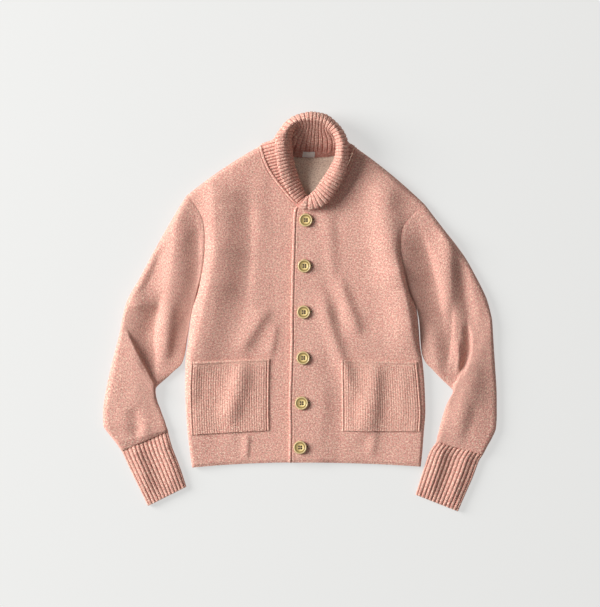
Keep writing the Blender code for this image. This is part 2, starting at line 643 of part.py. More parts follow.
def armhole(rows, across):
    """Plan, height and drop along an armhole: across 0 is the shoulder point and 1 the underarm."""
    levels = np.linspace(SHOULDER, UNDERARM, 101)
    line = front_plan(rows, levels, 0 * levels)
    length = np.cumsum(np.r_[0, np.linalg.norm(np.diff(line, axis=0), axis=-1)])
    level = np.interp(across, length / length[-1], levels)
    drop = ease(column(rows, FRONT_COLUMNS, "drop"), level)
    return front_plan(rows, level, 0 * level), drop


def sleeve_plan(rows, front, ring, across):
    get = reader(rows, SLEEVE_COLUMNS, ring)
    out = np.stack([get("out_x"), get("out_y")], axis=-1)
    into = np.stack([get("in_x"), get("in_y")], axis=-1)
    across = np.asarray(across, float)
    hole, _ = armhole(front, across)
    shoulder, _ = armhole(front, 0 * across)
    under, _ = armhole(front, 0 * across + 1)
    bulge = hole - shoulder - across[..., None] * (under - shoulder)
    return out + across[..., None] * (into - out) + get("curve")[..., None] * bulge


def sleeve_sheet(rows, front, ring, across):
    get = reader(rows, SLEEVE_COLUMNS, ring)
    plan = sleeve_plan(rows, front, ring, across)
    z = get("z_mid") + (get("z_out") - get("z_mid")) * (1 - step(across / 0.5))
    z = z + (get("z_in") - get("z_mid")) * step((across - 0.5) / 0.5)
    z = z + folds(plan[..., 0], plan[..., 1], SLEEVE_FOLDS)
    return np.concatenate([plan, z[..., None]], axis=-1)


def sleeve_skin(rows, front, ring, across, top):
    """Points and normals on a sleeve's outer face, over it or under it."""
    ring, across = np.broadcast_arrays(np.asarray(ring, float), np.asarray(across, float))
    last = len(rows) - 1.0
    get = reader(rows, SLEEVE_COLUMNS, ring)
    sheet = sleeve_sheet(rows, front, ring, across)
    plan = sheet[..., :2]
    out = sleeve_plan(rows, front, ring, 0 * across)
    into = sleeve_plan(rows, front, ring, 0 * across + 1)
    width = np.linalg.norm(into - out, axis=-1)
    edges = [
        (across * width, get("turn"), 1.0 + 0 * across, unit(out - into)),
        ((1 - across) * width, get("turn"), 1.0 + 0 * across, unit(into - out)),
    ]
    rest = np.minimum(REST_EDGE, 0.5 * get("z_mid"))
    if top:
        hole, drop = armhole(front, across)
        behind = np.linalg.norm(plan - hole, axis=-1)
        away = unit(hole - sleeve_plan(rows, front, 0 * ring + 1, across))
        edges.append((behind, ARMHOLE_TURN, drop, away))
        z, lean = settle(sheet[..., 2], rest, edges)
        flat = slope_normal(
            lambda a, b: sleeve_sheet(rows, front, a, b), ring, across, last
        )
    else:
        z, lean = settle(0 * across, rest, edges)
        flat = np.zeros(np.shape(across) + (3,))
        flat[..., 2] = -1.0
    return np.concatenate([plan, z[..., None]], axis=-1), facing(flat, lean)


def sleeve_ring(rows, front, ring):
    """Outer and inner points round one ring of a sleeve."""
    out = sleeve_plan(rows, front, np.array(float(ring)), np.array(0.0))
    into = sleeve_plan(rows, front, np.array(float(ring)), np.array(1.0))
    width = np.linalg.norm(into - out)
    turn = ease(column(rows, SLEEVE_COLUMNS, "turn"), ring)
    near = turn * (1 - np.cos(np.radians(np.array(SLEEVE_TURNED)))) / width
    inside = 1 - 2 * near[-1]
    over = np.concatenate([near, near[-1] + inside * np.array(SLEEVE_TOP), 1 - near[::-1]])
    under = np.concatenate([1 - near[1:], near[-1] + inside * np.array(SLEEVE_LOW)[::-1], near[:0:-1]])
    sewn = max(0.0, 1 - ring / ARMHOLE_REACH)
    over = over + sewn * (armhole_shares(front, ARMHOLE_OVER) - over)
    under = under + sewn * (armhole_shares(front, ARMHOLE_UNDER) - under)
    high, high_normal = sleeve_skin(rows, front, ring, over, True)
    low, low_normal = sleeve_skin(rows, front, ring, under, False)
    if ring == 0:
        high = front_skin(front, np.array(ARMHOLE_OVER, float), 0.0)[0]
        line = front_plan(front, np.array(ARMHOLE_UNDER, float), 0 * np.array(ARMHOLE_UNDER))
        low = np.concatenate([line, 0 * line[:, :1]], axis=-1)
        toward = sleeve_plan(rows, front, np.array(2.0), np.array(0.5))
        for part in (high, low):
            under_gap = np.linalg.norm(part[:, :2] - high[-1, :2], axis=-1, keepdims=True)
            gap = SEAM + UNDERARM_GAP * np.exp(-((under_gap / UNDERARM_FADE) ** 2))
            part[:, :2] += gap * beside(part[:, :2], toward)
    if 0 < ring < 1:
        toward = sleeve_plan(rows, front, np.array(2.0), np.array(0.5))
        for part in (high, low):
            near_under = np.linalg.norm(part[:, :2] - into, axis=-1, keepdims=True)
            push = UNDERARM_PUSH * np.exp(-((near_under / UNDERARM_PUSH_FADE) ** 2))
            part[:, :2] += push * beside(part[:, :2], toward)
    outer = np.concatenate([high, low])
    normal = np.concatenate([high_normal, low_normal])
    if ring == len(rows) - 1:
        edge = unit(into - out)
        axis = np.array([-edge[1], edge[0], 0.0])
        normal = unit(normal - (normal @ axis)[:, None] * axis)
    return outer, outer - WALL * normal


def beside(line, toward):
    """Unit steps square to a line in plan, on the side of a place."""
    along = unit(np.gradient(line, axis=0))
    square = np.stack([-along[:, 1], along[:, 0]], axis=-1)
    side = np.sign(np.sum(square * (toward - line), axis=-1, keepdims=True))
    return square * side


def armhole_shares(front, levels):
    """How far along the armhole each level of the front lies, from the shoulder point."""
    fine = np.linspace(SHOULDER, UNDERARM, 101)
    line = front_plan(front, fine, 0 * fine)
    length = np.cumsum(np.r_[0, np.linalg.norm(np.diff(line, axis=0), axis=-1)])
    return np.interp(-np.array(levels, float), -fine, length / length[-1])


def make_sleeve(name, rows, front):
    rings = [sleeve_ring(rows, front, k) for k in SLEEVE_RINGS]
    outer = np.array([r[0] for r in rings])
    inner = np.array([r[1] for r in rings])
    at = (places(len(rings)), list(np.arange(outer.shape[1]) / outer.shape[1]))
    points, faces = wall(outer, inner, at, at, ring=True)
    return add_part(name, points, faces, "felted_knit")


# Cuffs

def oval(width, rise, at):
    """Points along and up a flat oval, and its normals, at shares of the way round from one end."""
    r = rise / 2
    flat = width - rise
    total = 2 * flat + 2 * np.pi * r
    s = np.asarray(at, float) % 1.0 * total
    x, z, nx, nz = (np.zeros(len(s)) for _ in range(4))
    quarter = np.pi * r / 2
    for i, d in enumerate(s):
        if d < quarter:
            a = d / r
            x[i], z[i], nx[i], nz[i] = r - r * np.cos(a), r + r * np.sin(a), -np.cos(a), np.sin(a)
        elif d < quarter + flat:
            x[i], z[i], nz[i] = r + d - quarter, rise, 1
        elif d < 3 * quarter + flat:
            a = (d - quarter - flat) / r
            x[i], z[i] = width - r + r * np.sin(a), r + r * np.cos(a)
            nx[i], nz[i] = np.sin(a), np.cos(a)
        elif d < 3 * quarter + 2 * flat:
            x[i], nz[i] = width - r - (d - 3 * quarter - flat), -1
        else:
            a = (d - 3 * quarter - 2 * flat) / r
            x[i], z[i], nx[i], nz[i] = r - r * np.sin(a), r - r * np.cos(a), -np.sin(a), -np.cos(a)
    return x, z, nx, nz


CUFF_RINGS = (0, 0.9, 1.9, 3)
CUFF_PLAIN = 20  # points round a cuff's inside
CUFF_RIBBED = (0.53, 0.97)  # the ribs end at the first share of the way round, and start at the second
CUFF_SPARSE = (0.56, 0.94)  # the underside between these has fewer points


def make_cuff(name, rows):
    """Ribs over the upper side; the side it lies on is plain."""
    order = np.arange(2 * CUFF_RIBS)
    around = order / len(order)
    keep = (around < CUFF_SPARSE[0]) | (around > CUFF_SPARSE[1]) | (order % 4 == 1)
    ribbed = (around < CUFF_RIBBED[0]) | (around > CUFF_RIBBED[1])
    rib = np.where(ribbed & (order % 2 == 0), RIB_RISE, 0.0)[keep]
    around = around[keep]
    plain = np.arange(CUFF_PLAIN) / CUFF_PLAIN
    outer, inner = [], []
    for ring in CUFF_RINGS:
        get = reader(rows, CUFF_COLUMNS, ring)
        out = np.array([get("out_x"), get("out_y")])
        into = np.array([get("in_x"), get("in_y")])
        width = np.linalg.norm(into - out)
        way = (into - out) / width
        x, z, nx, nz = oval(width, get("rise"), around)
        x, z = x - nx * rib, z - nz * rib
        ring_points = np.concatenate([out + x[:, None] * way, z[:, None]], axis=-1)
        outer.append(ring_points)
        x, z, nx, nz = oval(width, get("rise"), plain)
        deep = RIB_WALL + RIB_RISE
        x, z = x - nx * deep, z - nz * deep
        inner.append(np.concatenate([out + x[:, None] * way, z[:, None]], axis=-1))
    outer, inner = np.array(outer), np.array(inner)
    at = places(len(CUFF_RINGS))
    points, faces = wall(outer, inner, (at, list(around)), (at, list(plain)), ring=True)
    return add_part(name, points, faces, "rib_knit")


# Collar

def neck_line():
    """The neck seam on the panels' own points, from the wearer's right tip to the left one."""
    levels = np.array([v for v in FRONT_LEVELS if v >= NECK_START], float)
    right = front_skin(WEARER_RIGHT_FRONT, levels, 0 * levels + 1)[0]
    levels = levels[levels >= NECK_START + 1][::-1]
    left = front_skin(WEARER_LEFT_FRONT, levels, 0 * levels + 1)[0]
    plan, lift, normal = back_row(len(BACK_LEVELS) + len(BACK_SHOULDER) - 1)
    back = np.concatenate([plan, lift[:, None]], axis=-1) - WALL * normal
    right[:, 2] -= WALL
    left[:, 2] -= WALL
    return np.concatenate([right[:-1], back, left[1:]])


NECK_LINE = neck_line()


def neck_seam(at):
    """Places on the neck seam, at shares of its length."""
    length = np.cumsum(np.r_[0, np.linalg.norm(np.diff(NECK_LINE[:, :2], axis=0), axis=-1)])
    at = np.asarray(at, float) * length[-1]
    return np.stack([np.interp(at, length, NECK_LINE[:, k]) for k in range(3)], axis=-1)


NECK_CENTRE = (20.0, 290.0)
COLLAR_ACROSS = (0, 0.16, 0.32, 0.46, 0.56, 0.66, 0.78, 0.89, 1.0)
SEAM_INSET = 0.9  # space between the neck seam and the collar
SEAM_LEAN = 1.45  # how much of its thickness a leaning collar is moved in by
SEAM_RIB = 0.3  # how much of a rib's rise is left at the neck seam
ROLL_TUCK = 0.16  # how far the free edge turns back in, as a share of its drop
ROLL_OUT = 0.45  # how far down the roll is widest, as a share of its drop
INNER_EVERY = 4  # the plain inside has a section at each fourth outer one


def collar_face(row, across):
    """The collar's visible face without its ribs, at a place in its table and across its width."""
    get = reader(COLLAR_ROWS, COLLAR_COLUMNS, row)
    seam = neck_seam(get("seam"))
    into = np.stack([get("in_x"), get("in_y"), get("z_in")], axis=-1)
    over = np.stack([get("out_x"), get("out_y")], axis=-1)
    seam[..., :2] += SEAM_INSET * unit(into[..., :2] - seam[..., :2])
    away = unit(seam[..., :2] - np.array(NECK_CENTRE))
    stand = (seam + into) / 2
    stand[..., :2] += get("bulge")[..., None] * away
    stand[..., 2] = get("z_stand")
    top = np.concatenate([0.5 * (into[..., :2] + over), get("z_top")[..., None]], axis=-1)
    drop = get("z_top") - get("z_edge")
    tuck = unit(into[..., :2] - over) * (ROLL_TUCK * drop)[..., None]
    out = np.concatenate([over, (get("z_top") - ROLL_OUT * drop)[..., None]], axis=-1)
    edge = np.concatenate([over + tuck, get("z_edge")[..., None]], axis=-1)
    knots = np.stack([seam, stand, into, top, out, edge], axis=-2)
    length = np.linalg.norm(np.diff(knots, axis=-2), axis=-1)
    place = np.concatenate([0 * length[..., :1], np.cumsum(length, axis=-1)], axis=-1)
    place = place / place[..., -1:]
    flat_place, flat_knots = place.reshape(-1, 6), knots.reshape(-1, 6, 3)
    found = np.zeros((len(flat_place), len(across), 3))
    for i, (p, k) in enumerate(zip(flat_place, flat_knots)):
        found[i] = curve(p, k, across)
    return found


def curve(place, knots, at):
    """A smooth curve through knots, each at its own place along it."""
    h = np.diff(place)
    d = np.diff(knots, axis=0) / h[:, None]
    slope = np.zeros_like(knots)
    slope[1:-1] = (h[1:, None] * d[:-1] + h[:-1, None] * d[1:]) / (h[1:] + h[:-1])[:, None]
    slope[0], slope[-1] = d[0], d[-1]
    at = np.asarray(at, float)
    i = np.clip(np.searchsorted(place, at, side="right") - 1, 0, len(h) - 1)
    f = ((at - place[i]) / h[i])[:, None]
    g = h[i][:, None]
    return (
        knots[i] * (1 + 2 * f) * (1 - f) ** 2
        + slope[i] * g * f * (1 - f) ** 2
        + knots[i + 1] * f**2 * (3 - 2 * f)
        - slope[i + 1] * g * f**2 * (1 - f)
    )


def face_normals(grid):
    along = np.gradient(grid, axis=0)
    across = np.gradient(grid, axis=1)
    return unit(np.cross(along, across))


def collar_rows(count):
    """Places in the collar's table that are evenly spaced along its middle."""
    fine = np.linspace(0, len(COLLAR_ROWS) - 1, 200)
    line = collar_face(fine, np.array([0.5]))[:, 0]
    length = np.cumsum(np.r_[0, np.linalg.norm(np.diff(line, axis=0), axis=-1)])
    return np.interp(np.linspace(0, length[-1], count), length, fine)


def make_collar():
    count = 2 * COLLAR_RIBS + 1
    face = collar_face(collar_rows(count), np.array(COLLAR_ACROSS))
    normal = face_normals(face)
    if normal[count // 2, 1, 2] < 0:
        normal = -normal
    way = face[:, 2, :2] - face[:, 0, :2]
    lean = np.sum(unit(way) * normal[:, 0, :2], axis=-1)
    face[:, 0, :2] += SEAM_LEAN * RIB_WALL * np.clip(lean, 0, 1)[:, None] * unit(way)
    rib = RIB_RISE * (np.arange(count) % 2)
    fade = np.ones(len(COLLAR_ACROSS))
    fade[0] = SEAM_RIB
    outer = face + (rib[:, None] * fade[None, :])[..., None] * normal
    pick = np.arange(0, count, INNER_EVERY)
    inner = face[pick] - RIB_WALL * normal[pick]
    at = list(np.linspace(0, 1, count))
    points, faces = wall(
        outer, inner, (at, list(COLLAR_ACROSS)), (list(np.array(at)[pick]), list(COLLAR_ACROSS))
    )
    return add_part("collar", points, faces, "rib_knit")


BACK_ROWS = (9, 15)  # rows of the collar's table along the back of the neck
LABEL_LINE = 0.03  # place across the collar at which the label's ends are set out


def make_label():
    """A bare strip sewn over the back neck seam, inside the collar."""
    rows = np.linspace(*BACK_ROWS, 121)
    line = collar_face(rows, np.array([LABEL_LINE]))[:, 0]
    pick = np.interp(LABEL_X, line[:, 0], rows)
    fine = np.linspace(0, 1, 201)
    mid = collar_face(np.array([pick.mean()]), fine)[0]
    length = np.cumsum(np.r_[0, np.linalg.norm(np.diff(mid, axis=0), axis=-1)])
    share = np.interp((LABEL_START, LABEL_START + LABEL_DEPTH), length, fine)
    low = collar_face(pick, share)
    up = np.cross(low[1, 0] - low[0, 0], low[0, 1] - low[0, 0])
    up = unit(up) * np.sign(up[2])
    grid = (low + LABEL_LIFT * up).transpose(1, 0, 2)
    at = (places(2), places(2))
    points, faces = wall(grid + LABEL_THICK * up, grid, at, at)
    return add_part("label", points, faces, "label_cloth")


# Buttons

def hole_cutter(name):
    """The pins that cut a button's holes, as one object."""
    form = bmesh.new()
    low, high = BUTTON_CUT
    for k in range(BUTTON_HOLES):
        a = (k + 0.5) * 2 * np.pi / BUTTON_HOLES
        centre = Vector((np.cos(a), np.sin(a), 0)) * BUTTON_HOLE_OFF
        centre.z = (low + high) / 2
        bmesh.ops.create_cone(
            form,
            cap_ends=True,
            segments=BUTTON_HOLE_STEPS,
            radius1=BUTTON_HOLE_R * MM,
            radius2=BUTTON_HOLE_R * MM,
            depth=(high - low) * MM,
            matrix=Matrix.Translation(centre * MM),
        )
    mesh = bpy.data.meshes.new(name)
    form.to_mesh(mesh)
    form.free()
    obj = bpy.data.objects.new(name, mesh)
    obj.display_type = "WIRE"
    obj.hide_render = True
    CUTTERS.objects.link(obj)
    return obj


def button_seat(x, y):
    """Place of a button on the upper front, as a matrix in metres."""
    base = front_at(x, y)
    right, left = front_at(x + BUTTON_REACH, y), front_at(x - BUTTON_REACH, y)
    back, fore = front_at(x, y + BUTTON_REACH), front_at(x, y - BUTTON_REACH)
    u = unit(right - left)
    n = unit(np.cross(u, unit(back - fore)))
    v = np.cross(n, u)
    high = max(0.0, *(float((spot - base) @ n) for spot in (right, left, back, fore)))
    spot = base + (high + SEAM + BUTTON_CLEAR) * n
    return Matrix.Translation(Vector(spot) * MM) @ Matrix((u, v, n)).transposed().to_4x4()


def make_button(name, centre):
    """A turned button with a raised rim, a dished middle and its holes, resting on the upper front."""
    top, underside = BUTTON_PROFILE[0][0], BUTTON_PROFILE[-1][0]
    profile = [(top, 0.0), *BUTTON_PROFILE, (underside, 0.0)]
    points = [(radius * MM, 0.0, height * MM) for height, radius in profile]
    mesh = bpy.data.meshes.new(name)
    mesh.from_pydata(points, [(k, k + 1) for k in range(len(points) - 1)], [])
    mesh.materials.append(material("horn_button"))
    obj = bpy.data.objects.new(name, mesh)
    JACKET.objects.link(obj)
    screw = obj.modifiers.new("turned", "SCREW")
    screw.steps = screw.render_steps = BUTTON_STEPS
    screw.use_merge_vertices = True
    screw.merge_threshold = BUTTON_MERGE
    cut = obj.modifiers.new("holes", "BOOLEAN")
    cut.solver = "EXACT"
    cut.operation = "DIFFERENCE"
    cut.object = hole_cutter(name + "_holes")
    seat = button_seat(*centre)
    for placed in (obj, cut.object):
        placed.location = seat.to_translation()
        placed.rotation_euler = seat.to_euler()
    return obj


def front_at(x, y):
    """The point of the upper front's outer face above a place."""
    level, across = 8.0, 0.9
    for _ in range(30):
        here = front_plan(WEARER_LEFT_FRONT, level, across)
        dl = front_plan(WEARER_LEFT_FRONT, level + 0.01, across) - here
        da = front_plan(WEARER_LEFT_FRONT, level, across + 0.001) - here
        jac = np.array([dl / 0.01, da / 0.001]).T
        move = np.linalg.solve(jac, np.array([x, y]) - here)
        level = float(np.clip(level + move[0], 0.0, SHOULDER - 0.02))
        across = float(np.clip(across + move[1], 0.0, 0.998))
    return front_skin(WEARER_LEFT_FRONT, level, across, 1.0)[0]


make_back()
make_front("front_right", WEARER_RIGHT_FRONT)
make_front("front_left", WEARER_LEFT_FRONT)
make_sleeve("sleeve_right", WEARER_RIGHT_SLEEVE, WEARER_RIGHT_FRONT)
make_sleeve("sleeve_left", WEARER_LEFT_SLEEVE, WEARER_LEFT_FRONT)
make_cuff("cuff_right", WEARER_RIGHT_CUFF)
make_cuff("cuff_left", WEARER_LEFT_CUFF)
make_collar()
make_pocket("pocket_right", WEARER_RIGHT_FRONT)
make_pocket("pocket_left", WEARER_LEFT_FRONT)
make_label()
for number, spot in enumerate(BUTTONS, 1):
    make_button(f"button_{number}", spot)
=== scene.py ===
"""Looks of a knit jacket that lies flat on its back: felted marled cloth, ribs, seams and buttons.

Tables are in millimetres, +X to the right as seen from above, +Y toward the collar and +Z up.
Outlines repeat the solids' own, so that each cloth lies on its solid. Heights, turns at the armholes and
folds depart from theirs by some millimetres, 11 at the most. Right and left are the wearer's.
"""

import bpy
import numpy as np
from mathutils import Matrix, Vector


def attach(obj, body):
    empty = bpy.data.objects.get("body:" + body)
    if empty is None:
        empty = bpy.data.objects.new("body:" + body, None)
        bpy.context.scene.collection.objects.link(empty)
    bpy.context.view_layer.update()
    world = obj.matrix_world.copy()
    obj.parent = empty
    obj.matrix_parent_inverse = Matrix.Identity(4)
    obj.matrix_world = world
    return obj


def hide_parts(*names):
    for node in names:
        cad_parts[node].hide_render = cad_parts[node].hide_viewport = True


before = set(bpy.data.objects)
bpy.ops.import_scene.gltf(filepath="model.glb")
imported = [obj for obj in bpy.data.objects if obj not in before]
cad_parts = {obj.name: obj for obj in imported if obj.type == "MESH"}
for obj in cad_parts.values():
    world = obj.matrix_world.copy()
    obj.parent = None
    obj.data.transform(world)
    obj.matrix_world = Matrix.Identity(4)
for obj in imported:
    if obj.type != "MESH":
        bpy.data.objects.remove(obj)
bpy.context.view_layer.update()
MM = 0.001

# Cloth
WALL = 3.0  # felted knit of the body and sleeves
RIB_WALL = 2.5  # ribbed knit under its ribs
SEAM = 0.3  # space between pieces sewn edge to edge
REST_EDGE = 8.0  # height of the seams and folds down the sides
LAP = 4.0  # how far the upper front is lifted by the one below it
LAP_END = 31.0  # x of the lower front's hidden edge
LAP_FADE = 50.0  # length over which the upper front settles again
HEM_ROUND = 6.0  # depth of the hem's rounded edge
HEM_DROP = 2.0  # how much lower the hem itself is
SHOULDER_TURN = 12.0  # depth of the turn at the shoulder seam
ARMHOLE_TURN = 11.0  # depth of a sleeve's turn at the armhole
WELT = 6.0  # width of the raised finish on the front edge and neck

# Ribs
RIB_RISE = 1.3  # of the collar and cuffs
COLLAR_RIBS = 64
CUFF_RIBS = 26
POCKET_RIBS = 33
POCKET_WALL = 2.4
POCKET_WELT = 4.0  # width of the finish along a pocket's top and sides

# Buttons
BUTTON_HOLE_R = 1.5
BUTTON_HOLE_OFF = 3.1  # from a button's centre to the centre of each hole
BUTTON_REACH = 10.0  # how far out the cloth under a button is felt for
BUTTON_CLEAR = 0.25  # space below a button besides the seam's

# One row per level of a front, from the hem to the shoulder: the side edge (side seam, then armhole,
# then the shoulder point), how deep its turn is, how far the edge drops, the front edge (then the
# neckline), the bow of the row, and the height near the side, in the middle and at the front edge.
FRONT_COLUMNS = (
    "side_x", "side_y", "turn", "drop", "front_x", "front_y", "bow", "z_side", "z_mid", "z_front"
)
RIGHT_FRONT = (
    (-216, -312, 7, 1, 29, -302, 3.5, 13, 10, 10),
    (-220.4, -280, 7, 1, 29, -270, 2, 14, 10, 10),
    (-224.4, -247, 7, 1, 29, -234, 1, 14, 10, 10),
    (-228, -200, 8, 1, 29, -188, 0, 14, 10, 10),
    (-229.8, -150, 9, 1, 30, -140, 0, 14, 11, 10),
    (-229, -102, 11, 1, 30, -91, 0, 14, 12, 10),
    (-224.8, -66, 12, 1, 30, -55, 0, 14, 13, 10),
    (-220.8, -30, 12, 1, 31, -15, 0, 14, 13, 10),
    (-216, 5, 12, 1, 31, 25, 0, 14, 13, 10),
    (-205, 40, 12, 0.80, 31, 65, 0, 14, 13, 10),
    (-195, 85, 12, 0.32, 31, 110, 0, 14, 13, 10),
    (-190.5, 130, 12, 0.22, 31, 150, 0, 14, 13, 10),
    (-190.5, 153, 12, 0.14, 31, 174, 0, 14, 13, 10),
    (-192, 172, 12, 0.10, 28, 194, 0, 14, 13, 10),
    (-196, 188, 12, 0.06, -3, 215, 0, 15, 13, 10),
    (-203, 202, 12, 0.06, -33, 248, 1, 15, 13, 12),
    (-211, 214, 12, 0.06, -57, 281, 2, 15, 14, 15),
    (-219, 223.5, 12, 0.06, -71, 311, 3.5, 15, 15, 18),
    (-227, 232, 12, 0.06, -77, 333, 5, 15, 16, 19),
)
LEFT_FRONT = (
    (241.8, -310, 7, 1, -22.5, -302, 2.5, 13, 10, 10),
    (245, -280, 7, 1, -22, -270, 1.5, 14, 10, 10),
    (248, -240, 8, 1, -21.5, -239, 0.5, 14, 10, 10),
    (251, -200, 9, 1, -22.5, -192, 0, 14, 10, 10),
    (249.5, -150, 11, 1, -21, -143, 0, 14, 11, 10),
    (245.5, -102, 12, 1, -19.6, -94, 0, 15, 12, 10),
    (240, -66, 10, 1, -18.6, -55, 0, 15, 13, 10),
    (237.6, -30, 9, 1, -18.4, -15, 0, 15, 13, 10),
    (233.6, 5, 8, 1, -17.6, 25, 0, 15, 13, 10),
    (219.8, 38, 8, 0.75, -17, 65, 0, 15, 13, 10),
    (208, 85, 9, 0.38, -16, 106, 0, 15, 13, 10),
    (201, 126, 10, 0.30, -15, 141, 0, 15, 13, 10),
    (202, 148, 12, 0.30, -14, 168, 0, 15, 13, 10),
    (206.5, 168, 12, 0.20, -13, 192, 0, 15, 13, 10),
    (215, 182, 12, 0.12, -8, 209, 0, 15, 13, 10),
    (224, 192, 12, 0.12, 27, 213, 1, 15, 13, 11),
    (233, 200, 12, 0.12, 64, 239, 2, 15, 14, 14),
    (242, 207, 12, 0.12, 94, 288, 3.5, 15, 15, 18),
    (250, 214, 12, 0.12, 110, 329, 5, 15, 16, 19),
)
UNDERARM = 8  # row of the underarm point
SHOULDER = 18  # row of the shoulder seam
NECK_START = 13  # row where the front edge becomes the neckline
POCKET_ROWS = (2, 5)  # rows of a front between which its pocket lies
POCKET_FRONT = (0.655, 0.615)  # how far across a front its pocket ends, wearer's right and left

# Back neckline, from the wearer's right neck point to the left.
BACK_NECK = ((-77, 333), (-52, 320), (-22, 310), (16, 307), (55, 309), (85, 316), (110, 329))

# One row per ring of a sleeve: its outer edge, its inner edge, how much of the armhole's curve is left
# in it, how deep its turns are, and the height near the outer edge, in the middle, near the inner edge.
SLEEVE_COLUMNS = (
    "out_x", "out_y", "in_x", "in_y", "curve", "turn", "z_out", "z_mid", "z_in"
)
RIGHT_SLEEVE = (
    (-227, 232, -216, 5, 1, 12, 15, 20, 16),
    (-243, 207, -219.6, -13, 0.72, 12, 16, 19, 15),
    (-263, 173, -222.6, -36, 0.46, 13, 17, 18, 13),
    (-284, 136, -226.4, -60, 0.26, 13, 18, 16, 11),
    (-304, 99, -230.2, -84, 0.12, 13, 18, 16, 10),
    (-322, 65, -238, -106, 0.04, 13, 20, 16, 10),
    (-337, 40, -252, -119, 0, 12, 22, 16, 10),
    (-348, 17, -267, -133, 0, 11, 22, 14, 11),
    (-355, -10, -285, -149, 0, 10, 21, 13, 12),
    (-357.5, -23, -288.5, -154, 0, 10, 20, 24, 20),
    (-361, -42, -289, -160, 0, 11, 20, 24, 20),
    (-369, -74, -288, -169, 0, 12, 20, 22, 18),
    (-380, -118, -285, -181, 0, 12, 19, 20, 15),
    (-389, -162, -280, -194, 0, 12, 18, 18, 13),
    (-394.4, -200, -275, -208, 0, 12, 17, 18, 12),
    (-394.0, -226, -270, -221, 0, 11, 16, 17, 12),
    (-383, -245, -267, -231, 0, 10, 15, 16, 14),
    (-370, -261, -265, -236, 0, 9, 15, 16, 15),
    (-357.6, -279, -263.8, -240, 0, 6, 12, 12, 12),
)
LEFT_SLEEVE = (
    (250, 214, 234, 5, 1, 12, 15, 20, 16),
    (269, 189, 237.8, -13, 0.72, 12, 16, 19, 15),
    (290, 162, 239.8, -36, 0.46, 13, 15, 18, 13),
    (312, 134, 241.2, -60, 0.26, 13, 15, 16, 12),
    (332, 106, 243.6, -82, 0.12, 13, 15, 14, 12),
    (350, 74, 251, -101, 0.04, 13, 15, 14, 12),
    (364, 47, 266, -117, 0, 12, 15, 14, 12),
    (375, 22, 281, -133, 0, 11, 15, 14, 11),
    (382, -4, 302, -153, 0, 10, 15, 14, 10),
    (384.5, -16, 306, -158, 0, 10, 15, 15, 17),
    (386, -36, 305, -164, 0, 11, 15, 17, 18),
    (388, -70, 300, -173, 0, 12, 14, 18, 18),
    (391, -115, 293, -187, 0, 12, 14, 19, 18),
    (393.8, -165, 287, -205, 0, 12, 13, 18, 17),
    (394.0, -205, 281, -226, 0, 12, 13, 17, 16),
    (392.5, -232, 277.5, -240, 0, 11, 13, 16, 15),
    (385, -252, 275, -250, 0, 10, 13, 16, 15),
    (375, -270, 274, -256, 0, 9, 14, 16, 15),
    (366.6, -286.6, 273, -261, 0, 6, 12, 12, 12),
)

# One row per ring of a cuff: its outer edge, its inner edge and its height.
CUFF_COLUMNS = ("out_x", "out_y", "in_x", "in_y", "rise")
RIGHT_CUFF = (
    (-357.4, -279.6, -263.6, -240.6, 11.6),
    (-349, -298, -255, -272, 11.6),
    (-335, -328, -241, -308, 11.4),
    (-305, -389, -227, -350, 11.4),
)
LEFT_CUFF = (
    (366.5, -287.2, 272.6, -261.6, 11.6),
    (359, -300, 261, -277, 11.6),
    (346, -334, 248, -312, 11.4),
    (317, -400, 231, -366, 11.4),
)

# One row per fold: start, bend and end of its line, its half widths left and right of the way it runs,
# and its height, minus where it sinks.
BODY_FOLDS = (
    (-172, 292, -163, 180, -168, 62, 50, 24, 13.0),
    (-168, 118, -184, 20, -224, -150, 50, 20, 13.5),
    (-58, 14, -92, -30, -130, -98, 13, 18, 5.0),
    (-114, -88, -121, -160, -154, -236, 20, 18, 7.0),
    (168, 292, 170, 190, 184, 84, 32, 33, 13.0),
    (178, 140, 216, 40, 230, -112, 13, 42, 14.0),
    (74, 82, 91, 14, 126, -62, 13, 18, 6.5),
    (43, 56, 56, -40, 112, -172, 13, 16, 6.5),
    (152, -90, 149, -170, 138, -262, 15, 20, 5.5),
)
SLEEVE_FOLDS = (
    (-234, 244, -252, 112, -262, -10, 36, 18, 11.5),
    (-262, 40, -264, -40, -273, -116, 17, 17, 7.0),
    (-350, 8, -314, 20, -276, 2, 22, 9, 5.5),
    (-274, 52, -306, -50, -290, -142, 8, 24, -9.5),
    (-334, -186, -326, -222, -322, -262, 12, 16, -4.5),
    (290, 206, 303, 110, 296, -26, 16, 23, 9.0),
    (243, 140, 256, 40, 262, -80, 24, 20, -0.5),
    (314, 126, 330, 50, 348, -72, 13, 12, -4.5),
    (344, -70, 333, -160, 308, -270, 30, 20, 7.0),
)

